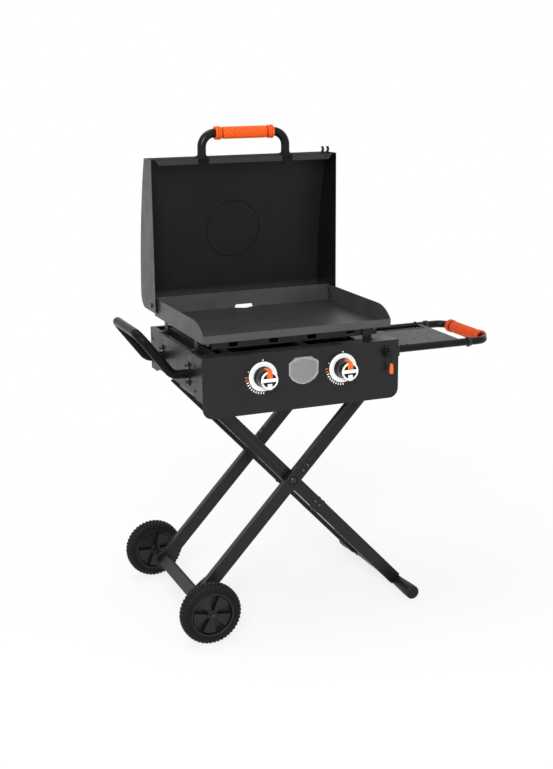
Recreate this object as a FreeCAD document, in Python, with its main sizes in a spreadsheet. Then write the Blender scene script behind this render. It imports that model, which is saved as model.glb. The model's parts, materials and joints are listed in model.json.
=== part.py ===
"""Outdoor gas griddle station on folding scissor legs.

Frame: +X to the object's right, +Y to its back, +Z up, millimetres.
The outlines below are written from the griddle's front edge, in the middle of its
width and at ground level. Every sub-part is then moved by the same amount, so that
the origin lies on the ground in the middle of the whole object.
"""
import FreeCAD, Part
import math
import os
import re
import Sketcher
from FreeCAD import Rotation, Vector

SIZES = [
    ("plate_width", "560"), ("plate_depth", "422"), ("plate_gauge", "4"), ("wall_gauge", "2.5"),
    ("wall_rise", "54"), ("lip_rise", "21"), ("guard_tall", "23"), ("guard_y", "22"),
    ("rise_radius", "109"), ("drain_width", "58"), ("drain_tall", "9"), ("plate_gap", "33"),
    ("body_width", "585"), ("body_depth", "456"), ("front_reach", "26"), ("body_tall", "124"),
    ("apron_drop", "43.5"), ("apron_radius", "27"), ("sheet", "1.5"), ("fold", "12"), ("front_fold", "44"),
    ("leg_arch", "11"), ("floor_rise", "12"),
    ("knob_spread", "119"), ("knob_drop", "65"), ("knob_radius", "27"), ("knob_long", "44"),
    ("knob_push", "3"), ("bezel_outer", "40.5"), ("bezel_inner", "29"), ("stem_radius", "4"),
    ("burner_radius", "14"), ("burner_long", "300"), ("box_room", "26"), ("box_left", "247"),
    ("box_tall", "55"), ("box_front", "20"), ("box_clear", "40"), ("supply_room", "18"),
    ("stand_angle", "46.9"), ("upper_leg", "337"), ("wheel_leg", "427"), ("stand_x", "-4"),
    ("leg_wide", "38"), ("leg_deep", "19"), ("leg_gauge", "1.6"), ("leg_gap", "3"),
    ("leg_inset", "63"), ("leg_clear", "20"), ("pin_radius", "5"), ("pin_play", "0.05"),
    ("wheel_radius", "87"), ("wheel_wide", "40"), ("wheel_out", "280"), ("rim_share", "62"),
    ("axle_end", "284"), ("axle_bar_wide", "32"), ("hub_radius", "14"),
    ("foot_tube", "14"), ("foot_cap", "20"), ("foot_half", "239"), ("foot_cap_long", "96"),
    ("top_tube", "12.5"),
    ("hinge_back", "422"), ("hinge_rise", "31"), ("hood_front", "39"), ("hood_tall", "425"),
    ("hood_top_deep", "68"), ("hood_deep", "141"), ("hood_tail", "18"), ("hood_gap", "8"),
    ("hood_back_radius", "1400"), ("hood_corner", "41"), ("hood_gauge", "1.5"), ("lip_wide", "16"),
    ("hinge_pin", "4"),
    ("handle_tube", "12.7"), ("handle_half", "130.6"), ("handle_rise", "68"), ("handle_bend", "40"),
    ("handle_in", "17"), ("grip_long", "180"), ("grip_radius", "17"), ("grip_flare", "19.5"),
    ("bail_tube", "12.7"), ("bail_out", "137"), ("bail_up", "118"), ("bail_stub", "46"),
    ("bail_front", "86"), ("bail_wide", "232"), ("bail_bend", "34"), ("bail_drop", "64"),
    ("shelf_drop", "25"), ("shelf_reach", "213"), ("shelf_inner", "61.5"), ("shelf_gauge", "1.5"),
    ("tow_tube", "11"), ("tow_front", "7"), ("tow_wide", "254"), ("tow_reach", "303.5"),
    ("tow_bend", "35"), ("tow_play", "0.3"), ("tow_travel", "180"), ("collar_x", "238"),
    ("lock_inset", "40"), ("lock_radius", "4"), ("lock_depth", "2.5"), ("tag_long", "29"),
    ("loop_wire", "1.2"), ("loop_rise", "9"), ("loop_wide", "10"), ("loop_drop", "30"),
    ("rack_front", "196"), ("rack_deep", "14"), ("tooth_pitch", "11.6"), ("tooth_wide", "5.5"),
    ("tooth_deep", "22"), ("tooth_start", "64.5"), ("face_inner", "19.5"),
    ("inlet_radius", "12.7"), ("inlet_deep", "22"), ("cup_wide", "96"), ("cup_deep", "62"),
    ("cup_tall", "48"), ("lug_wide", "6.5"), ("lug_long", "14"), ("post_wide", "28"),
    ("post_foot", "26"), ("gap", "0.3"),
]

DERIVED = {
    "centre_z": "wheel_radius + wheel_leg * sin(stand_angle)",
    "pivot_x": "stand_x + upper_leg * cos(stand_angle)",
    "slider_x": "stand_x - upper_leg * cos(stand_angle)",
    "pivot_z": "centre_z + upper_leg * sin(stand_angle)",
    "foot_leg": "(centre_z - foot_cap) / sin(stand_angle)",
    "axle_x": "stand_x - wheel_leg * cos(stand_angle)",
    "body_low": "pivot_z + leg_wide / 2 + leg_clear - floor_rise",
    "floor_z": "body_low + floor_rise",
    "apron_low": "body_low - apron_drop",
    "body_top": "body_low + body_tall",
    "plate_low": "body_top + plate_gap",
    "cook_z": "plate_low + plate_gauge",
    "wall_top": "plate_low + wall_rise",
    "body_back": "body_depth - front_reach",
    "mid_y": "(body_depth - 2 * front_reach) / 2",
    "half_body": "body_width / 2",
    "half_plate": "plate_width / 2",
    "rise_start": "sqrt(2 * rise_radius * (wall_rise - lip_rise) - pow(wall_rise - lip_rise; 2))",
    "knob_z": "body_top - knob_drop",
    "hinge_z": "cook_z + hinge_rise - 4",
    "hood_y": "hinge_back - hood_front",
    "hood_top": "hinge_z + hood_tall",
    "hood_rear": "hood_y + hood_deep",
    "half_hood": "half_plate + hood_gap + hood_gauge",
    "handle_y": "hood_y + handle_in",
    "outer_leg_y": "mid_y - leg_inset - 102",
    "inner_leg_y": "outer_leg_y + leg_deep + leg_gap",
    "bail_z": "body_top - bail_drop",
    "tow_z": "body_top - shelf_drop - 8",
    "shelf_z": "body_top - shelf_drop",
    "tow_end": "half_body - shelf_inner",
    "box_right": "tow_end - box_room",
    "supply_x": "tow_end - supply_room",
    "tow_x": "half_body + tow_reach",
    "lock_x": "half_body - lock_inset",
    "origin_x": "(tow_x + grip_flare - half_body - bail_out - bail_tube) / 2",
    "origin_y": "(hood_rear + mid_y - axle_end) / 2",
}

WORD = re.compile(r"[a-z][a-z0-9_]*")
FUNCTIONS = {"sin", "cos", "sqrt", "pow"}

doc = FreeCAD.newDocument("griddle_station")
sheet = doc.addObject("Spreadsheet::Sheet", "Size")
for row, (alias, value) in enumerate(SIZES, start=1):
    sheet.set("A%d" % row, alias)
    sheet.set("B%d" % row, value)
    sheet.setAlias("B%d" % row, alias)
doc.recompute()

subparts = []


def formula(text):
    """Spell out a size name, or a formula of size names, as an expression on the sheet."""
    def spell(match):
        word = match.group(0)
        if word in FUNCTIONS:
            return word
        if word in DERIVED:
            return "(" + formula(DERIVED[word]) + ")"
        return "Size." + word
    return WORD.sub(spell, str(text))


def number(text):
    """The present value of a formula of size names."""
    value = sheet.evalExpression(formula(text))
    return float(getattr(value, "Value", value))


def bind(item, prop, text):
    item.setExpression(prop, formula(text))


def place(item, x="0", y="0", z="0"):
    """Tie an item's place to the sheet."""
    for axis, text in zip("xyz", (x, y, z)):
        bind(item, "Placement.Base." + axis, text)
    return item


def turned(item, axis, degrees):
    item.Placement = FreeCAD.Placement(Vector(0, 0, 0), Rotation(axis, degrees))
    return item


def box(x, y, z, wide, deep, tall):
    """A block from its lowest corner and its three sizes."""
    item = doc.addObject("Part::Box", "block")
    for prop, text in (("Length", wide), ("Width", deep), ("Height", tall)):
        bind(item, prop, text)
    return place(item, x, y, z)


def rod(axis, x, y, z, radius, length):
    """A round bar that starts at a point and runs along +X, +Y or +Z."""
    item = doc.addObject("Part::Cylinder", "rod")
    bind(item, "Radius", radius)
    bind(item, "Height", length)
    if axis == "x":
        turned(item, Vector(0, 1, 0), 90)
    if axis == "y":
        turned(item, Vector(1, 0, 0), -90)
    return place(item, x, y, z)


def ring(axis, x, y, z, outer, inner, length):
    hole = rod(axis, x, y, z, inner, length)
    return cut(rod(axis, x, y, z, outer, length), hole)


def fuse(*items):
    item = doc.addObject("Part::MultiFuse", "joined")
    item.Shapes = list(items)
    return item


def group(*items):
    item = doc.addObject("Part::Compound", "set")
    item.Links = list(items)
    return item


def cut(base, *tools):
    """Take one or more tools out of a base."""
    item = doc.addObject("Part::Cut", "cut")
    item.Base = base
    item.Tool = tools[0] if len(tools) == 1 else group(*tools)
    return item


def arc_middle(start, end, radius):
    """The middle of the arc between two points; a positive radius has its centre on the left."""
    chord = end.sub(start)
    half = chord.Length / 2
    size = abs(radius)
    bulge = size - math.sqrt(max(size * size - half * half, 0))
    left = Vector(-chord.y, chord.x, 0).normalize()
    side = -1 if radius > 0 else 1
    return start.add(end).multiply(0.5).add(left.multiply(side * bulge))


PLANES = {
    "xy": Rotation(),
    "xz": Rotation(Vector(1, 0, 0), 90),
    "yz": Rotation(Vector(1, 1, 1), 120),
}


def draw(sketch, outline):
    """Draw an outline of corners; a third value in a corner is the radius of the arc after it."""
    points = [Vector(number(corner[0]), number(corner[1]), 0) for corner in outline]
    for at, start in enumerate(points):
        end = points[(at + 1) % len(points)]
        if len(outline[at]) == 3:
            middle = arc_middle(start, end, number(outline[at][2]))
            edge = sketch.addGeometry(Part.Arc(start, middle, end), False)
        else:
            edge = sketch.addGeometry(Part.LineSegment(start, end), False)
        fix_edge(sketch, edge, outline[at])
    link_edges(sketch, outline)
    return sketch


def first_end(corner):
    """Which end of an edge starts at its corner: a sketch stores a clockwise arc reversed."""
    return 2 if len(corner) == 3 and number(corner[2]) < 0 else 1


def fix_point(sketch, edge, end, label, corner):
    """Tie one end of an edge to its two formulas."""
    for kind, text in (("X", corner[0]), ("Y", corner[1])):
        value = number(text)
        if abs(value) < 1e-9 and str(text) == "0":
            on_axis = -2 if kind == "X" else -1
            sketch.addConstraint(Sketcher.Constraint("PointOnObject", edge, end, on_axis))
            continue
        index = sketch.addConstraint(
            Sketcher.Constraint("Distance" + kind, -1, 1, edge, end, value))
        name = "%s%s" % (label, kind.lower())
        sketch.renameConstraint(index, name)
        sketch.setExpression("Constraints." + name, formula(text))


def fix_edge(sketch, edge, corner):
    fix_point(sketch, edge, first_end(corner), "p%d" % edge, corner)
    if len(corner) == 3:
        index = sketch.addConstraint(
            Sketcher.Constraint("Radius", edge, abs(number(corner[2]))))
        sketch.renameConstraint(index, "r%d" % edge)
        sign = "" if number(corner[2]) > 0 else "-1 * "
        sketch.setExpression("Constraints.r%d" % edge, sign + "(" + formula(corner[2]) + ")")


def link_edges(sketch, outline):
    """Join each edge's end to the start of the next one."""
    for at, corner in enumerate(outline):
        last = 3 - first_end(corner)
        after = (at + 1) % len(outline)
        there = first_end(outline[after])
        sketch.addConstraint(Sketcher.Constraint("Coincident", at, last, after, there))


def sketch_on(plane, offset, outline):
    """A sketch on a plane that lies at an offset along the plane's own normal axis."""
    sketch = doc.addObject("Sketcher::SketchObject", "outline")
    sketch.Placement = FreeCAD.Placement(Vector(0, 0, 0), PLANES[plane])
    axis = {"xy": "z", "xz": "y", "yz": "x"}[plane]
    bind(sketch, "Placement.Base." + axis, offset)
    return draw(sketch, outline)


def prism(plane, offset, depth, outline):
    """A solid with the given outline, from the offset to offset + depth."""
    item = doc.addObject("Part::Extrusion", "prism")
    item.Base = sketch_on(plane, offset, outline)
    item.DirMode = "Custom"
    item.Dir = {"xy": Vector(0, 0, 1), "xz": Vector(0, 1, 0), "yz": Vector(1, 0, 0)}[plane]
    item.Solid = True
    bind(item, "LengthFwd", depth)
    return item


def spun(axis, x, y, z, outline):
    """A turned solid: the outline gives distance along the axis, then radius."""
    sketch = doc.addObject("Sketcher::SketchObject", "section")
    draw(sketch, outline)
    item = doc.addObject("Part::Revolution", "turned")
    item.Source = sketch
    item.Axis = Vector(1, 0, 0)
    item.Angle = 360
    item.Solid = True
    if axis == "y":
        turned(item, Vector(0, 0, 1), 90)
    if axis == "z":
        turned(item, Vector(0, 1, 0), -90)
    return place(item, x, y, z)


def mirrored(item, axis, about):
    """The mirror image of an item across a plane at a value along X or Y."""
    image = doc.addObject("Part::Mirroring", "mirrored")
    image.Source = item
    image.Normal = Vector(1, 0, 0) if axis == "x" else Vector(0, 1, 0)
    bind(image, "Base." + axis, about)
    return image


def body_on(name, plane, offset):
    """A PartDesign body with a first sketch on one of its own planes."""
    body = doc.addObject("PartDesign::Body", name + "_body")
    sketch = new_sketch(body, plane, offset)
    return body, sketch


def new_sketch(body, plane, offset):
    sketch = body.newObject("Sketcher::SketchObject", "outline")
    role = {"xy": "XY_Plane", "xz": "XZ_Plane", "yz": "YZ_Plane"}[plane]
    origin = [item for item in body.Origin.OriginFeatures if item.Role == role][0]
    sketch.AttachmentSupport = (origin, [""])
    sketch.MapMode = "FlatFace"
    sign = "-1 * " if plane == "xz" else ""
    sketch.setExpression("AttachmentOffset.Base.z", sign + "(" + formula(offset) + ")")
    return sketch


def pad(body, sketch, length, reverse=False):
    item = body.newObject("PartDesign::Pad", "pad")
    item.Profile = sketch
    item.Reversed = reverse
    bind(item, "Length", length)
    doc.recompute()
    return item


def pocket(body, sketch, length, reverse=False):
    """Cut a sketch into the body and make sure that it took something away."""
    before = body.Shape.Volume
    item = body.newObject("PartDesign::Pocket", "pocket")
    item.Profile = sketch
    item.Reversed = reverse
    bind(item, "Length", length)
    doc.recompute()
    if body.Shape.Volume >= before:
        raise RuntimeError("a pocket cut nothing from " + body.Name)
    return item


def subpart(name, item, frame="body"):
    """Give a sub-part its label and put it in the object's own frame."""
    holder = item
    if item.TypeId not in ("Part::Cut", "Part::MultiFuse", "Part::Compound", "PartDesign::Body"):
        holder = group(item)
    holder.Label = name
    if frame == "body":
        place(holder, "-1 * origin_x", "-1 * origin_y", "0")
    else:
        sign = "-1 * " if frame == "wheel_frame" else ""
        holder.Placement = FreeCAD.Placement(Vector(0, 0, 0), Rotation(Vector(0, 1, 0), 10))
        holder.setExpression("Placement.Rotation.Angle", sign + formula("stand_angle"))
        place(holder, "stand_x - origin_x", "-1 * origin_y", "centre_z")
    subparts.append((name, holder))
    return holder


def bent_tube(points, radius, bend):
    """A round tube's solid along straight runs joined by tangent arcs."""
    edges = []
    here = points[0]
    for at in range(1, len(points) - 1):
        before = points[at].sub(points[at - 1]).normalize()
        after = points[at + 1].sub(points[at]).normalize()
        turn = math.acos(max(-1, min(1, before.dot(after))))
        reach = bend * math.tan(turn / 2)
        start = points[at].sub(Vector(before).multiply(reach))
        end = points[at].add(Vector(after).multiply(reach))
        inward = Vector(after).sub(before).normalize()
        centre_far = bend / math.cos(turn / 2)
        middle = points[at].add(inward.multiply(centre_far - bend))
        edges.append(Part.LineSegment(here, start).toShape())
        edges.append(Part.Arc(start, middle, end).toShape())
        here = end
    edges.append(Part.LineSegment(here, points[-1]).toShape())
    direction = points[1].sub(points[0])
    section = Part.Wire([Part.Circle(points[0], direction, radius).toShape()])
    return Part.Wire(edges).makePipeShell([section], True, True)


def shape_part(name, shape):
    """A sub-part whose solid is made by Part's own functions, from the sheet's values."""
    item = doc.addObject("Part::Feature", name + "_shape")
    item.Shape = shape
    return item


# Burner body


def front_panel():
    """Front sheet with rounded lower corners, knob holes and a folded top edge."""
    low, left, right = "apron_low", "-half_body", "half_body"
    body, sketch = body_on("front_panel", "xz", "-front_reach")
    draw(sketch, [
        (left, "body_top"), (left, "apron_low + apron_radius", "apron_radius"),
        ("apron_radius - half_body", low), ("half_body - apron_radius", low, "apron_radius"),
        (right, "apron_low + apron_radius"), (right, "body_top")])
    pad(body, sketch, "sheet", reverse=True)
    edge = new_sketch(body, "xz", "-front_reach")
    draw(edge, [("sheet - half_body", "body_top - sheet"), ("half_body - sheet", "body_top - sheet"),
                ("half_body - sheet", "body_top"), ("sheet - half_body", "body_top")])
    pad(body, edge, "front_fold", reverse=True)
    holes = new_sketch(body, "xz", "-front_reach")
    for at, (x, radius) in enumerate((("-knob_spread", "stem_radius + 6"),
                                      ("knob_spread", "stem_radius + 6"),
                                      ("lock_x", "lock_radius + gap"))):
        z = "tow_z" if x == "lock_x" else "knob_z"
        circle_hole(holes, at, x, z, radius)
    pocket(body, holes, "sheet")
    return subpart("front_panel", body)


def circle_hole(sketch, at, x, z, radius):
    """A round hole in a sketch, tied to the sheet."""
    centre = Vector(number(x), number(z), 0)
    edge = sketch.addGeometry(Part.Circle(centre, Vector(0, 0, 1), number(radius)), False)
    fix_point(sketch, edge, 3, "c%d" % at, (x, z))
    index = sketch.addConstraint(Sketcher.Constraint("Radius", edge, number(radius)))
    sketch.renameConstraint(index, "d%d" % at)
    sketch.setExpression("Constraints.d%d" % at, formula(radius))


def side_outline(front):
    """A side sheet's outline with the raised stretch that the folded legs pass under."""
    return [
        (front, "body_low"), ("mid_y - 175", "body_low"),
        ("mid_y - 145", "body_low + leg_arch"), ("mid_y + 145", "body_low + leg_arch"),
        ("mid_y + 175", "body_low"), ("body_back - sheet", "body_low")]


def left_panel():
    """Left sheet with an arched lower edge and a folded top edge."""
    front = "sheet - front_reach"
    wall = prism("yz", "-half_body", "sheet", side_outline(front) + [
        ("body_back - sheet", "body_top"), (front, "body_top")])
    edge = box("sheet - half_body", "front_fold - front_reach", "body_top - sheet",
               "fold", "body_depth - front_fold - sheet", "sheet")
    return subpart("left_panel", fuse(wall, edge))


def right_panel():
    """Right sheet: lower at the front, where the shelf slides over it."""
    front = "sheet - front_reach"
    back = "tow_wide - tow_front + tow_tube + 10"
    wall = prism("yz", "half_body - sheet", "sheet", side_outline(front) + [
        ("body_back - sheet", "body_top"), (back, "body_top"),
        (back, "tow_z - tow_tube - 7"), (front, "tow_z - tow_tube - 7")])
    edge = box("half_body - sheet - fold", back, "body_top - sheet",
               "fold", "body_back - sheet - (" + back + ")", "sheet")
    return subpart("right_panel", fuse(wall, edge))


def rear_panel():
    """Rear sheet with a folded top edge and two rails for the grease cup."""
    wall = box("-half_body", "body_back - sheet", "body_low", "body_width", "sheet", "body_tall")
    edge = box("-half_body + sheet + fold", "body_back - sheet - fold", "body_top - sheet",
               "body_width - 2 * sheet - 2 * fold", "fold", "sheet")
    rails = [prism("xz", "body_back", "cup_deep + 4", rail_outline(side)) for side in (-1, 1)]
    return subpart("rear_panel", fuse(wall, edge, *rails))


def rail_outline(side):
    """An angle rail that holds one rim of the grease cup."""
    outer = "cup_wide / 2 + 4"
    inner = "cup_wide / 2 - 5"
    low, high = "body_top - 12", "body_top - 1"
    corners = [(inner, low), (outer, low), (outer, high), ("cup_wide / 2 + 2.5", high),
               ("cup_wide / 2 + 2.5", "body_top - 10.5"), (inner, "body_top - 10.5")]
    if side < 0:
        corners = [("-1 * (" + x + ")", z) for x, z in corners]
    return corners


def floor_tray():
    """Floor sheet inside the side sheets, with a folded rim and vent slots."""
    length = "body_width - 2 * sheet"
    deep = "body_depth - 2 * sheet"
    tray = box("sheet - half_body", "sheet - front_reach", "floor_z", length, deep, "sheet")
    slots = []
    for at in range(6):
        x = "%d" % (-150 + 60 * at)
        slots.append(box(x + " - 16", "mid_y - 4", "floor_z", "32", "8", "sheet"))
    return subpart("floor_tray", cut(tray, *slots))


def heat_shield():
    """Tray round the burners; its left wall rises to the top of the side sheet."""
    low = "floor_z + sheet + 4"
    deep = "body_back - box_clear - box_front"
    wide = "box_left + box_right"
    outer = box("-box_left", "box_front", low, wide, deep, "box_tall")
    inner = box("sheet - box_left", "box_front + sheet", low + " + sheet", wide + " - 2 * sheet",
                deep + " - 2 * sheet", "box_tall")
    feet = [box(x, y, "floor_z + sheet", "20", "20", "4")
            for x in ("10 - box_left", "box_right - 30") for y in ("40", "body_back - 80")]
    mouths = [rod("y", x, "box_front - 1", "knob_z", "burner_radius - 3", "sheet + 2")
              for x in ("-knob_spread", "knob_spread")]
    tray = cut(fuse(outer, *feet), inner, *mouths)
    saddles = [box(x + " - 12", "burner_long - 20", low + " + sheet", "24", "3",
                   "knob_z - burner_radius - (" + low + " + sheet)")
               for x in ("-knob_spread", "knob_spread")]
    wall = box("-box_left", "box_front", low, "sheet", deep, "body_top - gap - (" + low + ")")
    rim = box("-box_left", "box_front", "body_top - gap - sheet", "fold", deep, "sheet")
    return subpart("heat_shield", fuse(tray, wall, rim, *saddles))


def burner(name, x):
    """Tube burner: mixing throat, bell and a ported tube with a closed end."""
    r = "burner_radius"
    tube = spun("y", x, "14", "knob_z", [
        ("0", "0"), ("0", r + " - 4"), ("26", r + " - 4"), ("46", r), ("burner_long", r),
        ("burner_long + 8", r + " - 6"), ("burner_long + 8", "0")])
    bore = spun("y", x, "13", "knob_z", [
        ("0", "0"), ("0", r + " - 5.5"), ("28", r + " - 5.5"), ("48", r + " - 1.5"),
        ("burner_long - 4", r + " - 1.5"), ("burner_long - 4", "0")])
    ports = []
    for at in range(9):
        y = "%d" % (80 + 26 * at)
        ports.append(box(x + " - burner_radius - 1", y, "knob_z + 2", "burner_radius * 2 + 2",
                         "3", "5"))
    return subpart(name, cut(tube, bore, *ports))


def gas_manifold():
    """Round supply tube behind the front sheet, with a riser to each valve."""
    z, y, r = "knob_z - 30", "0 - 12", "6"
    tube = rod("x", "-knob_spread - 14", y, z, r, "supply_x + knob_spread + 20")
    risers = [rod("z", x, y, z, "5", "19") for x in ("-knob_spread", "knob_spread")]
    supply = rod("y", "supply_x", y, z, "5", "body_back - sheet + 12")
    return subpart("gas_manifold", fuse(tube, *risers, supply))


def regulator():
    """Round regulator with a downward bottle socket, carried on the rear sheet."""
    x, y, z = "supply_x", "body_back + 34", "knob_z - 39"
    case = spun("z", x, y, z, [
        ("0", "0"), ("0", "24"), ("6", "30"), ("14", "30"), ("20", "24"), ("26", "12"), ("30", "0")])
    neck = rod("z", x, y, z + " - inlet_deep - 6", "inlet_radius + 4", "inlet_deep + 6")
    arm = box(x + " - 9", "body_back", z + " + 2", "18", "34", "14")
    socket = rod("z", x, y, z + " - inlet_deep - 6", "inlet_radius", "inlet_deep")
    return subpart("regulator", cut(fuse(case, neck, arm), socket))


def valve(name, x):
    """Valve body behind the front sheet, with its nozzle in the burner's throat."""
    block = box(x + " - 11", "sheet - front_reach", "knob_z - 11", "22", "26", "22")
    nozzle = spun("y", x, "1.5", "knob_z", [
        ("0", "0"), ("0", "7"), ("8", "5"), ("12", "3.5"), ("12", "0")])
    bore = rod("y", x, "sheet - front_reach", "knob_z", "stem_radius + pin_play", "20")
    return subpart(name, cut(fuse(block, nozzle), bore))


def knob_bezels():
    """Shallow dished ring round each knob."""
    rings = []
    for x in ("-knob_spread", "knob_spread"):
        rings.append(spun("y", x, "-1 * front_reach", "knob_z", [
            ("0", "bezel_inner"), ("-1.2", "bezel_inner"), ("-2.4", "bezel_inner + 3"),
            ("-2.4", "bezel_outer - 2"), ("-0.8", "bezel_outer"), ("0", "bezel_outer")]))
    return subpart("knob_bezels", group(*rings))


def badge_plate():
    """Bare shield-shaped plate between the knobs."""
    z = "knob_z + 5"
    return subpart("badge_plate", prism("xz", "-front_reach - 1.5", "1.5", [
        ("-44", z + " + 22"), ("-44", z + " - 10", "70"), ("0", z + " - 38", "70"),
        ("44", z + " - 10"), ("44", z + " + 22"), ("24", z + " + 38"), ("-24", z + " + 38")]))


def bail_handle():
    """Bent tube on the left side: two arms that rise outwards and a cross bar."""
    wall = -number("half_body")
    out, up = number("bail_out"), number("bail_up")
    y0, y1 = number("bail_front"), number("bail_front + bail_wide")
    z0 = number("bail_z")
    stub = number("bail_stub")
    points = [
        Vector(wall - 3, y0, z0), Vector(wall - stub, y0, z0),
        Vector(wall - out, y0, z0 + up), Vector(wall - out, y1, z0 + up),
        Vector(wall - stub, y1, z0), Vector(wall - 3, y1, z0)]
    tube = bent_tube(points, number("bail_tube"), number("bail_bend"))
    return subpart("bail_handle", shape_part("bail_handle", tube))


def bail_brackets():
    """Two bolted foot plates under the bail handle's arms."""
    plates = []
    for y in ("bail_front", "bail_front + bail_wide"):
        plate = box("-half_body - 3", y + " - 9", "bail_z - 32", "3", "18", "64")
        bolts = [rod("x", "-half_body - 6.5", y, "bail_z + (" + step + ")", "5", "3.5")
                 for step in ("24", "-24")]
        plates.append(fuse(plate, *bolts))
    return subpart("bail_brackets", group(*plates))


def leg_brackets():
    """Hanger plate, pin and head at each of the two upper pivots of the wheel frame."""
    sides = []
    for y, toward in (("outer_leg_y - leg_gap - 3", 1), ("2 * mid_y - outer_leg_y + leg_gap", -1)):
        plate = prism("xz", y, "3", [
            ("pivot_x - 30", "floor_z"), ("pivot_x - 16", "pivot_z", "16"),
            ("pivot_x", "pivot_z - 16", "16"), ("pivot_x + 16", "pivot_z"),
            ("pivot_x + 30", "floor_z")])
        flange_y = y + " - 16" if toward > 0 else y + " + 3"
        flange = box("pivot_x - 30", flange_y, "floor_z - 3", "60", "16", "3")
        pin_y = y if toward > 0 else y + " + 3 - leg_deep - leg_gap - 5"
        pin = rod("y", "pivot_x", pin_y, "pivot_z", "pin_radius", "leg_deep + leg_gap + 5")
        sides.append(fuse(plate, flange, pin))
    return subpart("leg_brackets", group(*sides))


def slide_rails():
    """Two runners that bear on the free top tube, each with an end stop."""
    top = "pivot_z + top_tube + gap"
    stop = "slider_x + top_tube + gap"
    start = "slider_x - 28"
    rails = []
    for y in ("inner_leg_y + leg_deep + 12", "2 * mid_y - inner_leg_y - leg_deep - 42"):
        rails.append(prism("xz", y, "30", [
            (start, top), (stop, top), (stop, "pivot_z - 6"),
            (stop + " + 3", "pivot_z - 6"), (stop + " + 3", "floor_z"), (stop, "floor_z"),
            (stop, top + " + 3"), (start + " + 3", top + " + 3"), (start + " + 3", "floor_z"),
            (start, "floor_z")]))
    return subpart("slide_rails", group(*rails))


def griddle_posts():
    """Four angle posts on the top edges that the griddle sits on."""
    posts = []
    top = "plate_gap - gap"
    left, right = "sheet - half_body", "half_body - sheet - post_foot"
    for x, post_x, y in ((left, "post_foot - 7", "66"), (left, "post_foot - 7", "mid_y + 125"),
                         (right, "3", "mid_y + 125")):
        foot = box(x, y, "body_top", "post_foot", "post_wide", "2")
        post = box(x + " + " + post_x, y, "body_top", "4", "post_wide", top)
        posts.append(fuse(foot, post))
    corner, fold_rear = "half_plate - 80", "front_fold - front_reach"
    foot = box(corner, fold_rear + " - 14", "body_top", "post_wide", "14", "2")
    post = box(corner, fold_rear + " - 2", "body_top", "post_wide", "2", top)
    return subpart("griddle_posts", group(fuse(foot, post), *posts))


def guide_blocks():
    """Open-sided guides that the shelf's tubes run in: two front, two rear on posts."""
    blocks = []
    r = "tow_tube + tow_play"
    for x, wide in (("tow_end + 2", "14"), ("half_body - sheet - 16", "22")):
        front = box(x, "sheet - front_reach", "tow_z - 16", wide,
                    "front_reach - sheet - tow_front + 4", "30")
        back_y = "tow_wide - tow_front"
        back = fuse(box(x, back_y + " - 4", "tow_z - 16", wide, "18", "30"),
                    box(x, back_y, "floor_z + sheet", "12", "12", "tow_z - 15 - floor_z - sheet"))
        blocks.append(cut(front, rod("x", x, "-1 * tow_front", "tow_z", r, wide)))
        blocks.append(cut(back, rod("x", x, back_y, "tow_z", r, wide)))
    return subpart("guide_blocks", group(*blocks))


def lock_bracket():
    """Barrel on the front sheet that guides the lock pin."""
    base = box("lock_x - 13", "-front_reach - 2", "tow_z - 10", "26", "2", "27")
    barrel = rod("y", "lock_x", "-front_reach - 14", "tow_z", "8", "12")
    bore = rod("y", "lock_x", "-front_reach - 14", "tow_z", "lock_radius + pin_play", "14")
    return subpart("lock_bracket", cut(fuse(base, barrel), bore))


def body_screws():
    """Screw heads on the two side sheets."""
    front, back = "36", "body_back - 16"
    low, high = "body_low + 22", "body_top - 33"
    places = ((front, high), (front, low), (back, low))
    heads = [rod("x", "-half_body - 2", y, z, "4", "2") for y, z in places]
    heads += [rod("x", "half_body", y, low, "4", "2") for y in (front, back)]
    return subpart("body_screws", group(*heads))


def igniters():
    """Spark electrode beside each burner, on the tray's floor."""
    pins = []
    for x in ("-knob_spread", "knob_spread"):
        base = rod("z", x + " + 30", "110", "floor_z + 2 * sheet + 4", "5", "20")
        tip = rod("z", x + " + 30", "110", "floor_z + 2 * sheet + 24", "1.5", "22")
        pins.append(fuse(base, tip))
    return subpart("igniters", group(*pins))


# Griddle


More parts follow.
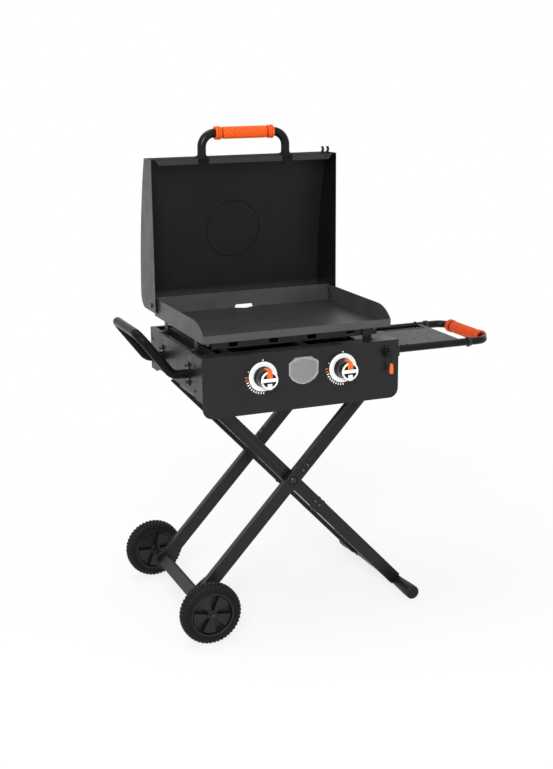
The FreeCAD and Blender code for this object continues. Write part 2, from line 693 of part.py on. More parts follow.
def griddle_plate():
    """Rolled plate with side walls that curve down to the front lip, and a drain hole."""
    floor = box("-half_plate", "0", "plate_low", "plate_width", "plate_depth", "plate_gauge")
    side = [("0", "plate_low"), ("plate_depth", "plate_low"), ("plate_depth", "wall_top"),
            ("rise_start", "wall_top", "rise_radius"), ("0", "plate_low + lip_rise")]
    walls = [prism("yz", x, "wall_gauge", side)
             for x in ("-half_plate", "half_plate - wall_gauge")]
    rear = box("-half_plate", "plate_depth - wall_gauge", "plate_low",
               "plate_width", "wall_gauge", "wall_rise")
    lip = box("-half_plate", "0", "plate_low", "plate_width", "wall_gauge", "lip_rise")
    drain = prism("xz", "plate_depth - wall_gauge - 1", "wall_gauge + 2", [
        ("-drain_width / 2", "cook_z"), ("drain_width / 2", "cook_z"),
        ("drain_width / 2 - 3", "cook_z + drain_tall"), ("3 - drain_width / 2", "cook_z + drain_tall")])
    wall = "plate_depth - wall_gauge"
    mouth = prism("xy", "plate_low - 1", "plate_gauge + 2", [
        ("-drain_width / 2", "plate_depth + 1"), ("-drain_width / 2", wall), ("0", wall + " - 16"),
        ("drain_width / 2", wall), ("drain_width / 2", "plate_depth + 1")])
    feet = [rod("z", x, y, "plate_low - 8", "6", "8")
            for x in ("20 - half_plate", "half_plate - 45") for y in ("14", "plate_depth - 20")]
    chute = [("plate_depth - 31", "plate_low"), ("plate_depth + 2", "plate_low - 11.6"),
             ("plate_depth + 27.5", "plate_low - 18.6")]
    spout = prism("yz", "3 - drain_width / 2", "drain_width - 6", chute + [
        ("plate_depth + 28", "plate_low - 17"), ("plate_depth + 3", "plate_low - 10"),
        ("plate_depth - 26", "plate_low")])
    cheeks = [prism("yz", x, "1.5", chute + [
        ("plate_depth + 29", "plate_low - 13"), ("plate_depth + 4", "plate_low - 6"),
        ("plate_depth - 14", "plate_low")]) for x in ("3 - drain_width / 2", "drain_width / 2 - 4.5")]
    plate = cut(fuse(floor, rear, lip, *walls, *feet), drain, mouth)
    return subpart("griddle_plate", fuse(plate, spout, *cheeks))


def wind_guard():
    """Front strip under the griddle with four windows."""
    low = "plate_low - guard_tall"
    strip = box("-box_left", "guard_y", low, "2 * box_left", "sheet", "guard_tall")
    windows = []
    for x in ("-185", "-67", "47", "164"):
        windows.append(prism("xz", "guard_y - 1", "sheet + 2", [
            (x + " - 13", "plate_low - 4"), (x + " - 13", low + " + 9", "4"),
            (x + " - 9", low + " + 5"), (x + " + 9", low + " + 5", "4"),
            (x + " + 13", low + " + 9"), (x + " + 13", "plate_low - 4")]))
    return subpart("wind_guard", cut(strip, *windows))


def hinge_brackets():
    """Plate and pin on each side of the griddle that carry the hood."""
    outline = [("hinge_back - 28", "wall_top - 2"), ("hinge_back - 28", "wall_top - 44"),
               ("hinge_back + 4", "wall_top - 44"), ("hinge_back + 14", "wall_top - 30"),
               ("hinge_back + 14", "wall_top - 14"), ("hinge_back + 2", "wall_top - 2")]
    plate = prism("yz", "-half_plate - 3", "3", outline)
    pin = rod("x", "-half_hood - 3.5", "hinge_back", "hinge_z", "hinge_pin", "hood_gap + 3.5")
    head = rod("x", "-half_hood - 3.5", "hinge_back", "hinge_z", "7", "3.2")
    left = fuse(plate, pin, head)
    return subpart("hinge_brackets", group(left, mirrored(left, "x", "0")))


# Hood


def hood_outline():
    """Side view of the open hood: rim, top, bowed back, round lower corner and tail."""
    return [
        ("hood_y", "hood_top"), ("hood_y", "hinge_z - hood_tail + 6"),
        ("hood_y + 8", "hinge_z - hood_tail"),
        ("hood_rear - hood_corner", "hinge_z - hood_tail", "hood_corner"),
        ("hood_rear", "hinge_z - hood_tail + hood_corner", "hood_back_radius"),
        ("hood_y + hood_top_deep", "hood_top")]


def hood_end(name, x):
    """End sheet of the hood with its pivot hole."""
    sheet_end = prism("yz", x, "hood_gauge", hood_outline())
    hole = rod("x", x, "hinge_back", "hinge_z", "hinge_pin + pin_play", "hood_gauge")
    return subpart(name, cut(sheet_end, hole))


def hood_shell():
    """Top and bowed back of the hood, one folded sheet between the end sheets."""
    g = "hood_gauge"
    wrap = prism("yz", "hood_gauge - half_hood", "2 * half_hood - 2 * hood_gauge", [
        ("hood_y", "hood_top"), ("hood_y", "hood_top - " + g),
        ("hood_y + hood_top_deep - " + g, "hood_top - " + g, "-1 * hood_back_radius + " + g),
        ("hood_rear - " + g, "hinge_z - hood_tail + hood_corner", "-1 * hood_corner + " + g),
        ("hood_rear - hood_corner", "hinge_z - hood_tail + " + g),
        ("hood_rear - hood_corner", "hinge_z - hood_tail", "hood_corner"),
        ("hood_rear", "hinge_z - hood_tail + hood_corner", "hood_back_radius"),
        ("hood_y + hood_top_deep", "hood_top")])
    return subpart("hood_shell", wrap)


def hood_lip():
    """Stiffening strip along the hood's rim, in three lengths with mitred outer ends."""
    low, high = "hood_top - hood_gauge - lip_wide", "hood_top - hood_gauge"
    foot = "handle_half + handle_tube + 4"
    inner = "handle_half - handle_tube - 4"
    outer = "half_plate - wall_gauge - 0.5"
    strips = [
        [("-1 * (" + outer + ")", high), ("12 - (" + outer + ")", low), ("-1 * (" + foot + ")", low),
         ("-1 * (" + foot + ")", high)],
        [("-1 * (" + inner + ")", high), ("-1 * (" + inner + ")", low), (inner, low), (inner, high)],
        [(foot, high), (foot, low), (outer + " - 12", low), (outer, high)]]
    return subpart("hood_lip", group(*[prism("xz", "hood_y", "hood_gauge", s) for s in strips]))


def hood_handle():
    """Arched tube on the hood's top sheet, with a round foot under each leg."""
    half, z0 = number("handle_half"), number("hood_top")
    y, z1 = number("handle_y"), number("hood_top + handle_rise")
    points = [Vector(-half, y, z0), Vector(-half, y, z1), Vector(half, y, z1), Vector(half, y, z0)]
    tube = shape_part("hood_handle", bent_tube(points, number("handle_tube"), number("handle_bend")))
    feet = [rod("z", x, "handle_y", "hood_top", "handle_tube + 4", "3")
            for x in ("-handle_half", "handle_half")]
    return subpart("hood_handle", fuse(tube, *feet))


def grip(name, axis, x, y, z, bore):
    """Moulded sleeve with a flared, ringed collar at each end."""
    half = "grip_long / 2"
    ends = [("0", bore), ("0", "grip_flare - 1.5"), ("2", "grip_flare"), ("6", "grip_flare"),
            ("8", "grip_radius"), ("10", "grip_radius"), ("12", "grip_flare - 0.8"),
            ("15", "grip_flare - 0.8"), ("18", "grip_radius")]
    outline = [("(" + s + ") - " + half, r) for s, r in ends]
    outline += [(half + " - (" + s + ")", r) for s, r in reversed(ends)]
    return subpart(name, spun(axis, x, y, z, outline))


def tool_clip():
    """Two-pronged spring clip on the hood's rim."""
    z = "hood_top"
    return subpart("tool_clip", prism("xz", "hood_y + 2", "12", [
        ("246", z), ("268", z), ("268", z + " + 18"), ("265.5", z + " + 20"), ("263", z + " + 16"),
        ("265", z + " + 12"), ("265", z + " + 3"), ("249", z + " + 3"), ("249", z + " + 12"),
        ("251", z + " + 16"), ("248.5", z + " + 20"), ("246", z + " + 18")]))


# Controls


def stem(name, x):
    """Valve plug's shaft with the flat that drives the knob."""
    shaft = rod("y", x, "-front_reach - 36", "knob_z", "stem_radius", "36 + 18")
    flat = box(x + " - 5", "-front_reach - 37", "knob_z + 1.5", "10", "30", "6")
    return subpart(name, cut(shaft, flat))


def knob(name, x):
    """Stepped knob: a raised ring on its face round a cross bar, a pointer and a tab."""
    back = "-front_reach - knob_push - 1"
    form = spun("y", x, back, "knob_z", [
        ("0", "0"), ("0", "knob_radius"), ("-6", "knob_radius"), ("-8", "knob_radius - 1.5"),
        ("2 - knob_long", "knob_radius - 2.5"), ("-knob_long", "knob_radius - 3.8"),
        ("-knob_long", "face_inner"), ("3 - knob_long", "face_inner - 0.5"), ("3 - knob_long", "0")])
    front = back + " - knob_long + 0.3"
    bar = box(x + " - face_inner", front, "knob_z - 5", "2 * face_inner", "3", "10")
    pointer = box(x + " - 5.5", front, "knob_z + 4", "11", "3", "face_inner - 3.8")
    tab = box(x + " - 3.5", front, "knob_z - face_inner - 0.5", "7", "3", "10")
    bore = rod("y", x, "-front_reach - 40", "knob_z", "stem_radius + 0.4", "40")
    return subpart(name, cut(fuse(form, bar, pointer, tab), bore))


# Shelf and tow handle, one sliding unit


def shelf_plate():
    """Shelf sheet between the tubes: folded edges, and a toothed drop to a rack at the rear."""
    y0, y1 = "tow_tube - tow_front", "tow_wide - tow_front - tow_tube"
    x0, x1 = "tow_end", "half_body + shelf_reach"
    long, g = "shelf_reach + shelf_inner", "shelf_gauge"
    low = "shelf_z - rack_deep"
    top = box(x0, y0, "shelf_z - shelf_gauge", long, "rack_front - (" + y0 + ")", g)
    front = box(x0, y0, low, long, g, "rack_deep")
    riser = box(x0, "rack_front - shelf_gauge", low, long, g, "rack_deep")
    rack = box(x0, "rack_front - shelf_gauge", low, long, y1 + " - rack_front + shelf_gauge", g)
    rear = box(x0, y1 + " - shelf_gauge", low, long, g, "rack_deep")
    end = box(x1 + " - shelf_gauge", y0, low, g, y1 + " - (" + y0 + ")", "rack_deep")
    strip = box(x1 + " - fold", "rack_front - 1", "shelf_z - shelf_gauge", "fold",
                y1 + " - rack_front + 1", g)
    notches = []
    for at in range(12):
        x = "half_body + tooth_start + tooth_pitch * %d" % at
        notches.append(box(x, "rack_front - tooth_deep", "shelf_z - shelf_gauge - 2", "tooth_wide",
                           "tooth_deep + 1", "4"))
    return subpart("shelf_plate", cut(fuse(top, front, riser, rack, rear, end, strip), *notches))


def tow_handle():
    """U-shaped tube that slides in the guides, with the lock pin's groove along its front."""
    x0, x1 = number("tow_end"), number("tow_x")
    y0, y1, z = number("-tow_front"), number("tow_wide - tow_front"), number("tow_z")
    points = [Vector(x0, y0, z), Vector(x1, y0, z), Vector(x1, y1, z), Vector(x0, y1, z)]
    tube = shape_part("tow_handle", bent_tube(points, number("tow_tube"), number("tow_bend")))
    groove = box("lock_x - lock_radius - 0.5", "-tow_front - tow_tube - 1", "tow_z - lock_radius - 0.5",
                 "tow_travel + 2 * lock_radius + 1", "lock_depth + 1", "2 * lock_radius + 1")
    return subpart("tow_handle", cut(tube, groove))


def tow_collars():
    """Stop collar with its bolt on each leg of the tow handle."""
    collars = []
    for y in ("-1 * tow_front", "tow_wide - tow_front"):
        collars.append(ring("x", "half_body + collar_x - 5", y, "tow_z", "tow_tube + 2.8",
                            "tow_tube", "10"))
    return subpart("tow_collars", group(*collars))


# Lock


def lock_pin():
    """Pull pin: a nose that rides in the tube's groove, and a drilled head."""
    nose = "-tow_front - tow_tube + lock_depth - 0.5"
    shaft = rod("y", "lock_x", "-front_reach - 22", "tow_z", "lock_radius",
                nose + " + front_reach + 22")
    head = rod("y", "lock_x", "-front_reach - 23", "tow_z", "6.5", "7")
    eye = rod("z", "lock_x", "-front_reach - 19.5", "tow_z - 8", "1.6", "16")
    return subpart("lock_pin", cut(fuse(shaft, head), eye))


def pin_loop():
    """Thin wire loop from the pin's head down to the tag."""
    x, y, z = number("lock_x"), number("-front_reach - 19.5"), number("tow_z")
    rise, wide, drop = number("loop_rise"), number("loop_wide"), number("loop_drop")
    radius = number("loop_wire")
    points = [Vector(x, y, z + rise), Vector(x + wide, y, z + rise / 2),
              Vector(x + wide * 0.95, y, z - drop * 0.6), Vector(x + wide * 0.8, y, z - drop)]
    loop = bent_tube(points, radius, wide / 2)
    straight = Part.makeCylinder(radius, 2 * rise - 1, Vector(x, y, z + 1 - rise), Vector(0, 0, 1))
    return subpart("pin_loop", shape_part("pin_loop", loop.fuse(straight)))


def pull_tag():
    """Tapered moulded tag at the loop's end."""
    x, y = "lock_x + loop_wide * 0.8", "-front_reach - 19.5"
    top = "tow_z - loop_drop"
    body = spun("z", x, y, top + " - tag_long", [
        ("0", "0"), ("0", "4.2"), ("1.5", "5.7"), ("tag_long * 0.45", "5.6"), ("tag_long - 2", "4.2"),
        ("tag_long", "3"), ("tag_long", "0")])
    return subpart("pull_tag", body)


def grease_cup():
    """Open cup that hangs on the rear sheet's rails by its rim."""
    top = "body_top - 8.5 + gap"
    x0 = "6 - cup_wide / 2"
    outer = box(x0, "body_back + 3", top + " - cup_tall", "cup_wide - 12", "cup_deep - 6", "cup_tall")
    rim = box("gap * 3 - cup_wide / 2", "body_back + gap", top + " - 2", "cup_wide - gap * 6",
              "cup_deep", "2")
    inner = box(x0 + " + 1.5", "body_back + 4.5", top + " - cup_tall + 1.5", "cup_wide - 15",
                "cup_deep - 9", "cup_tall")
    return subpart("grease_cup", cut(fuse(outer, rim), inner))


# Folding legs, drawn along +X from the centre pivot


def leg_tube(start, length, y):
    """Rectangular tube of the leg section, open inside."""
    outer = box(start, y, "-leg_wide / 2", length, "leg_deep", "leg_wide")
    inner = box(start, y + " + leg_gauge", "leg_gauge - leg_wide / 2", length,
                "leg_deep - 2 * leg_gauge", "leg_wide - 2 * leg_gauge")
    return cut(outer, inner)


def cross_hole(x, y, play):
    return rod("y", x, y + " - 1", "0", "pin_radius + (" + play + ")", "leg_deep + 6")


def outer_leg(name, y, plate_y):
    """Leg of the wheel frame: top plug, tube, and a flared plate round the axle."""
    tube = leg_tube("18 - wheel_leg", "wheel_leg + upper_leg", y)
    plug = box("upper_leg + 18", y, "-leg_wide / 2", "3", "leg_deep", "leg_wide")
    flare = prism("xz", plate_y, "3", [
        ("58 - wheel_leg", "-leg_wide / 2"), ("58 - wheel_leg", "leg_wide / 2"),
        ("12 - wheel_leg", "27", "27"), ("-wheel_leg - 27", "0", "27"), ("12 - wheel_leg", "-27")])
    holes = [cross_hole("upper_leg", y, "pin_play"), cross_hole("0", y, "0"),
             rod("y", "-wheel_leg", y + " - 6", "0", "pin_radius", "leg_deep + 14")]
    return subpart(name, cut(fuse(tube, plug, flare), *holes), "wheel_frame")


def axle_bar():
    """Rectangular cross bar over the axle, between the two flared plates."""
    y = "outer_leg_y + leg_deep + 3"
    long = "2 * (mid_y - outer_leg_y - leg_deep - 3)"
    half = "axle_bar_wide / 2"
    outer = box("-wheel_leg - " + half, y, "-1 * " + half, "axle_bar_wide", long, "axle_bar_wide")
    inner = box("-wheel_leg - " + half + " + 1.6", y, "1.6 - " + half, "axle_bar_wide - 3.2", long,
                "axle_bar_wide - 3.2")
    return subpart("axle_bar", cut(outer, inner), "wheel_frame")


def axle():
    """Axle rod with its end nuts and the spacers between leg and wheel."""
    long = "2 * axle_end"
    parts = [rod("y", "-wheel_leg", "mid_y - axle_end", "0", "pin_radius", long)]
    nut = "axle_end - wheel_out - gap"
    for y in ("mid_y - axle_end", "mid_y + wheel_out + gap"):
        parts.append(rod("y", "-wheel_leg", y, "0", "7", nut))
    room = "outer_leg_y + leg_deep - mid_y + wheel_out - wheel_wide - gap"
    for y in ("mid_y - wheel_out + wheel_wide + gap", "2 * mid_y - outer_leg_y - leg_deep"):
        parts.append(rod("y", "-wheel_leg", y, "0", "8", room))
    return subpart("axle", fuse(*parts), "wheel_frame")


def centre_bolts():
    """Bolt through each crossing pair of legs, with a round head and a washer."""
    bolts = []
    for head, body_y, washer in (
            ("outer_leg_y - 3", "outer_leg_y", "outer_leg_y + leg_deep"),
            ("2 * mid_y - outer_leg_y", "2 * mid_y - inner_leg_y - leg_deep - 3",
             "2 * mid_y - inner_leg_y + gap")):
        shank = rod("y", "0", body_y, "0", "pin_radius", "2 * leg_deep + leg_gap + 3")
        cap = rod("y", "0", head, "0", "8", "3")
        plate = rod("y", "0", washer, "0", "9", "leg_gap - gap")
        bolts.append(fuse(shank, cap, plate))
    return subpart("centre_bolts", group(*bolts), "wheel_frame")


def leg_bolts():
    """Joint bolts where the two lengths of each outer leg meet."""
    heads = []
    for x in ("42", "58"):
        heads.append(rod("y", x, "outer_leg_y - 1.5", "6", "3.2", "1.5"))
        heads.append(rod("z", x, "outer_leg_y + leg_deep / 2", "leg_wide / 2", "3.2", "2"))
        heads.append(rod("y", x, "2 * mid_y - outer_leg_y", "6", "3.2", "1.5"))
    return subpart("leg_bolts", group(*heads), "wheel_frame")


def inner_leg(name, y):
    """Leg of the foot frame: open tube with holes for its cross tubes."""
    tube = leg_tube("-upper_leg - 18", "upper_leg + 18 + foot_leg - foot_tube", y)
    plug = box("-upper_leg - 21", y, "-leg_wide / 2", "3", "leg_deep", "leg_wide")
    end = cut(box("foot_leg - foot_tube - 2", y, "-leg_wide / 2 + 4", "foot_tube", "leg_deep",
                  "leg_wide - 8"),
              rod("y", "foot_leg", y, "0", "foot_tube", "leg_deep"))
    holes = [cross_hole("0", y, "pin_play"),
             rod("y", "-upper_leg", y, "0", "top_tube", "leg_deep")]
    return subpart(name, cut(fuse(tube, plug, end), *holes), "foot_frame")


def top_cross_tube():
    """Round tube through the inner legs' top ends; it bears on the runners."""
    long = "2 * (mid_y - inner_leg_y)"
    return subpart("top_cross_tube", ring("y", "-upper_leg", "inner_leg_y", "0", "top_tube",
                                          "top_tube - 1.6", long), "foot_frame")


def foot_tube():
    """Round tube that the inner legs stand on."""
    return subpart("foot_bar", ring("y", "foot_leg", "mid_y - foot_half + 8", "0", "foot_tube",
                                    "foot_tube - 1.6", "2 * foot_half - 16"), "foot_frame")


def foot_cap(side):
    """Tapered foot sleeve with a rounded end, on the left or right of the middle."""
    r = "foot_tube"
    outline = [("0", "0"), ("2", "foot_cap - 3"), ("5", "foot_cap"), ("30", "foot_cap"),
               ("foot_cap_long * 0.6", "foot_cap - 1.8"), ("foot_cap_long", r + " + 2"),
               ("foot_cap_long", r), ("8", r), ("8", "0")]
    start = "mid_y - foot_half" if side < 0 else "mid_y + foot_half"
    if side > 0:
        outline = [("-1 * (" + s + ")", radius) for s, radius in outline]
    return spun("y", "foot_leg", start, "0", outline)


def foot_caps():
    """Foot sleeve at each end of the foot tube."""
    return subpart("foot_caps", group(foot_cap(-1), foot_cap(1)), "foot_frame")


# Wheels, drawn about the axle


def tyre(name, start):
    """Tyre with a rounded shoulder and two rows of tread lugs."""
    r, wide = "wheel_radius", "wheel_wide"
    inner = "rim_share"
    form = spun("y", "axle_x", start, "wheel_radius", [
        ("1", inner), ("0", inner + " + 4"), ("0", r + " - 14"), ("4", r + " - 5"), ("9", r + " - 2"),
        (wide + " - 9", r + " - 2"), (wide + " - 4", r + " - 5"), (wide, r + " - 14"),
        (wide, inner + " + 4"), (wide + " - 1", inner)])
    lugs = []
    count = 40
    for at in range(count):
        row_y = start + (" + 5" if at % 2 else " + wheel_wide - lug_long - 5")
        holder = group(box("-lug_wide / 2", "0", "wheel_radius - 4", "lug_wide", "lug_long", "4"))
        turned(holder, Vector(0, 1, 0), 360.0 * at / count)
        place(holder, "axle_x", row_y, "wheel_radius")
        lugs.append(holder)
    limit = rod("y", "axle_x", start, "wheel_radius", r, wide)
    whole = doc.addObject("Part::MultiCommon", "trimmed")
    whole.Shapes = [fuse(form, *lugs), limit]
    return subpart(name, whole)


def wheel(name, start, turn):
    """Moulded wheel: rim, hub, web and five sector blades on each face of the web."""
    wide = "wheel_wide"
    rim = ring("y", "axle_x", start + " + 1", "wheel_radius", "rim_share", "rim_share - 4.5",
               wide + " - 2")
    web = rod("y", "axle_x", start + " + wheel_wide / 2 - 1.5", "wheel_radius", "rim_share - 2", "3")
    hub = rod("y", "axle_x", start, "wheel_radius", "hub_radius", wide)
    blades = []
    for at in range(5):
        blade = prism("xz", "5", "wheel_wide - 10", [
            ("5.2", "hub_radius - 1"), ("19.5", "rim_share - 11.5", "rim_share - 8"),
            ("-19.5", "rim_share - 11.5"), ("-5.2", "hub_radius - 1")])
        holder = group(blade)
        turned(holder, Vector(0, 1, 0), turn + 72.0 * at)
        place(holder, "axle_x", start, "wheel_radius")
        blades.append(holder)
    bore = rod("y", "axle_x", start, "wheel_radius", "pin_radius + pin_play", wide)
    return subpart(name, cut(fuse(rim, web, hub, *blades), bore))


def build():
    front_panel()
    left_panel()
    right_panel()
    rear_panel()
    floor_tray()
    heat_shield()
    burner("left_burner", "-knob_spread")
    burner("right_burner", "knob_spread")
    gas_manifold()
    regulator()
    valve("left_valve", "-knob_spread")
    valve("right_valve", "knob_spread")
    knob_bezels()
    badge_plate()
    bail_handle()
    bail_brackets()
    leg_brackets()
    slide_rails()
    griddle_posts()
    guide_blocks()
    lock_bracket()
    body_screws()
    igniters()
    griddle_plate()
    wind_guard()
    hinge_brackets()
    hood_shell()
    hood_end("hood_left_end", "-half_hood")
    hood_end("hood_right_end", "half_hood - hood_gauge")
    hood_lip()
    hood_handle()
    grip("hood_grip", "x", "0", "handle_y", "hood_top + handle_rise", "handle_tube")
    tool_clip()
    stem("left_stem", "-knob_spread")
    stem("right_stem", "knob_spread")
    knob("left_knob", "-knob_spread")
    knob("right_knob", "knob_spread")
    shelf_plate()
    tow_handle()
    tow_collars()
    grip("tow_grip", "y", "tow_x", "tow_wide / 2 - tow_front", "tow_z", "tow_tube")
    lock_pin()
    pin_loop()
    pull_tag()
    grease_cup()
    outer_leg("front_outer_leg", "outer_leg_y", "outer_leg_y + leg_deep")
    outer_leg("rear_outer_leg", "2 * mid_y - outer_leg_y - leg_deep",
              "2 * mid_y - outer_leg_y - leg_deep - 3")
    axle_bar()
    axle()
    centre_bolts()
    leg_bolts()
    inner_leg("front_inner_leg", "inner_leg_y")
    inner_leg("rear_inner_leg", "2 * mid_y - inner_leg_y - leg_deep")
    top_cross_tube()
    foot_tube()
    foot_caps()
    tyre("front_tyre", "mid_y - wheel_out")
    wheel("front_wheel", "mid_y - wheel_out", 45)
    tyre("rear_tyre", "mid_y + wheel_out - wheel_wide")
    wheel("rear_wheel", "mid_y + wheel_out - wheel_wide", 36)


def check():
    """Stop unless every object is sound and every sub-part holds valid solids."""
    doc.recompute()
    for item in doc.Objects:
        if "Invalid" in item.State or "Error" in item.State:
            raise RuntimeError("%s (%s) failed" % (item.Name, item.Label))
    for name, item in subparts:
        shape = item.Shape
        if shape.isNull() or not shape.isValid() or not shape.Solids:
            raise RuntimeError(name + " has no valid solid")


build()
check()
os.makedirs("parts", exist_ok=True)
for name, item in subparts:
    solids = item.Shape.Solids
    shape = solids[0] if len(solids) == 1 else item.Shape
    shape.exportStep("parts/%s.step" % name)
    corner = item.Shape.BoundBox
    print("%-18s %d solids %9.1f mm3  x %7.1f %7.1f  y %7.1f %7.1f  z %7.1f %7.1f" % (
        name, len(solids), item.Shape.Volume, corner.XMin, corner.XMax, corner.YMin, corner.YMax,
        corner.ZMin, corner.ZMax))
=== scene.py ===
"""Look of the gas griddle station: finishes, fine detail, light and camera.

Pieces are drawn in millimetres from the griddle's front edge, in the middle of its
width and at ground level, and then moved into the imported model's own frame.
"""
import json
import math

import bmesh
import bpy
from mathutils import Matrix, Vector

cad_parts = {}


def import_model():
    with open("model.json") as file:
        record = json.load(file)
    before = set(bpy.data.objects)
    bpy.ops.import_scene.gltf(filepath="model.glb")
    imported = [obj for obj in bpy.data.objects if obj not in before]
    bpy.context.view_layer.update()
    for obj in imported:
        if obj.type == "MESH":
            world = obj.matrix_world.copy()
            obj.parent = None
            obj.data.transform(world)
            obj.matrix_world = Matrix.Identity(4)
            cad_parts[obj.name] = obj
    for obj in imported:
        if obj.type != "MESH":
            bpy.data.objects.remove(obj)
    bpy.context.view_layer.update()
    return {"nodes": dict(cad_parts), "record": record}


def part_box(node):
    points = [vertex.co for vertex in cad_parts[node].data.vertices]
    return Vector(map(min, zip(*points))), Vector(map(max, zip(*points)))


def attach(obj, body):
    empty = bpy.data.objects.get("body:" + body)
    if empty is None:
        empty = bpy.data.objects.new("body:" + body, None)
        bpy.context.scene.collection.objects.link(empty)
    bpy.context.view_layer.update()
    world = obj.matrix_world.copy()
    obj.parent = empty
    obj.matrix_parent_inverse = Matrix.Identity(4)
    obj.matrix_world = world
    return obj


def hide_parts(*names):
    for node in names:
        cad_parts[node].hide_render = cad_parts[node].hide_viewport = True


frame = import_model()
nodes = frame["nodes"]
record = frame["record"]
MM = 0.001
plate_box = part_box("griddle_plate")
ORIGIN = Vector(((plate_box[0].x + plate_box[1].x) / 2, plate_box[0].y, 0))


# Places that the pieces share, read from the solids in drawing millimetres

X, Y, Z = 0, 1, 2


def drawn(point, axis):
    """One part of a place in the frame, as a drawing size to a tenth of a millimetre."""
    return round((point[axis] - ORIGIN[axis]) / MM, 1)


def span(node, axis):
    """Where a node starts and ends along an axis."""
    low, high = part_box(node)
    return drawn(low, axis), drawn(high, axis)


def middle(node, axis):
    """The middle of a node along an axis."""
    return round(sum(span(node, axis)) / 2, 1)


def inset(node, axis, by):
    """A node's two ends along an axis, each moved inwards."""
    low, high = span(node, axis)
    return low + by, high - by


HALF_BODY = span("front_panel", X)[1]
BODY_TOP = span("front_panel", Z)[1]
FRONT_Y = span("front_panel", Y)[0]
BACK_Y = span("regulator", Y)[0]
KNOB_X, KNOB_Z = middle("right_knob", X), middle("right_knob", Z)
KNOB_FACE_Y = span("right_knob", Y)[0] + 0.8
HOOD_TOP = span("hood_shell", Z)[1]
HANDLE_Y = middle("hood_handle", Y)
AXLE_X, AXLE_Z = middle("front_tyre", X), middle("front_tyre", Z)
FOOT_X, FOOT_Z = middle("foot_caps", X), middle("foot_caps", Z)
PIVOT_X, PIVOT_Z = middle("centre_bolts", X), middle("centre_bolts", Z)
LOCK_X, LOCK_Z = middle("lock_pin", X), middle("lock_pin", Z)
TUBE_Z, TUBE_TOP = middle("tow_handle", Z), span("tow_handle", Z)[1]
TUBE_RADIUS, BORE_RADIUS = 11, 12.7
TUBE_YS = inset("tow_handle", Y, TUBE_RADIUS)
GAS_X, GAS_Y = middle("regulator", X), BACK_Y + 34

joints = {joint["name"]: joint for joint in record["behaviour"]["joints"]}
HINGE_Y, HINGE_Z = [drawn(joints["hood_hinge"]["pos_m"], axis) for axis in (Y, Z)]
STAND_ANGLE = joints["legs_fold"]["range_deg"][1]
LEG_HALF = 19
OUTER_LEG_YS = (span("front_outer_leg", Y)[0], span("rear_outer_leg", Y)[1])
INNER_LEG_YS = (span("front_inner_leg", Y)[0], span("rear_inner_leg", Y)[1])


# Materials

BUMP_STRENGTH = 0.35
MIX_SOCKETS = {"FLOAT": (2, 3, 0), "RGBA": (6, 7, 2)}


def new_material(name):
    """A material with its tree and its main shader."""
    made = bpy.data.materials.new(name)
    made.use_nodes = True
    tree = made.node_tree
    return made, tree, tree.nodes["Principled BSDF"]


def add(tree, kind, **values):
    """A new node, with values for its inputs or, where it has none of that name, its settings."""
    node = tree.nodes.new(kind)
    for key, value in values.items():
        if key in node.inputs:
            node.inputs[key].default_value = value
        else:
            setattr(node, key, value)
    return node


def noise(tree, scale, detail=3.0, stretch=(1, 1, 1)):
    """Noise in metres of the object's own frame."""
    place = add(tree, "ShaderNodeTexCoord")
    mapping = add(tree, "ShaderNodeMapping")
    mapping.inputs["Scale"].default_value = stretch
    tree.links.new(place.outputs["Object"], mapping.inputs["Vector"])
    node = add(tree, "ShaderNodeTexNoise", Scale=scale, Detail=detail)
    tree.links.new(mapping.outputs["Vector"], node.inputs["Vector"])
    return node.outputs["Fac"]


def ranged(tree, value, low, high, start=0.3, end=0.7):
    """A value carried from the range start to end into the range low to high."""
    node = add(tree, "ShaderNodeMapRange")
    node.inputs["From Min"].default_value = start
    node.inputs["From Max"].default_value = end
    node.inputs["To Min"].default_value = low
    node.inputs["To Max"].default_value = high
    tree.links.new(value, node.inputs["Value"])
    return node.outputs["Result"]


def mixed(tree, share, low, high, kind="RGBA"):
    """A mix of two values by a share; each value is a constant or another node's output."""
    node = add(tree, "ShaderNodeMix", data_type=kind)
    tree.links.new(share, node.inputs[0])
    first, second, result = MIX_SOCKETS[kind]
    for value, at in ((low, first), (high, second)):
        if isinstance(value, bpy.types.NodeSocket):
            tree.links.new(value, node.inputs[at])
        elif kind == "RGBA":
            node.inputs[at].default_value = (*value, 1)
        else:
            node.inputs[at].default_value = value
    return node.outputs[result]


def turned_to(tree, axis, start, end):
    """0 to 1 as a face turns towards one axis of the object's own frame."""
    place = add(tree, "ShaderNodeTexCoord")
    split = add(tree, "ShaderNodeSeparateXYZ")
    tree.links.new(place.outputs["Normal"], split.inputs[0])
    return ranged(tree, split.outputs[axis], 0, 1, start, end)


def surface(name, colour, rough, metal=0.0, spread=0.12, patch=9.0, grain=1400.0, depth=0.02,
            rough_spread=0.05, stretch=(1, 1, 1), specular=0.5):
    """A finish with soft patches of tone, a fine grain and an uneven gloss."""
    made, tree, shader = new_material(name)
    low = tuple(c * (1 - spread) for c in colour)
    high = tuple(min(1, c * (1 + spread)) for c in colour)
    tone = ranged(tree, noise(tree, patch, 4, stretch), 0, 1)
    tree.links.new(mixed(tree, tone, low, high), shader.inputs["Base Color"])
    cloud = noise(tree, patch * 4, 5, stretch)
    gloss = ranged(tree, cloud, rough - rough_spread, rough + rough_spread)
    tree.links.new(gloss, shader.inputs["Roughness"])
    bump = add(tree, "ShaderNodeBump", Strength=BUMP_STRENGTH, Distance=depth * MM)
    tree.links.new(noise(tree, grain, 2, stretch), bump.inputs["Height"])
    tree.links.new(bump.outputs["Normal"], shader.inputs["Normal"])
    shader.inputs["Metallic"].default_value = metal
    shader.inputs["Specular IOR Level"].default_value = specular
    return made


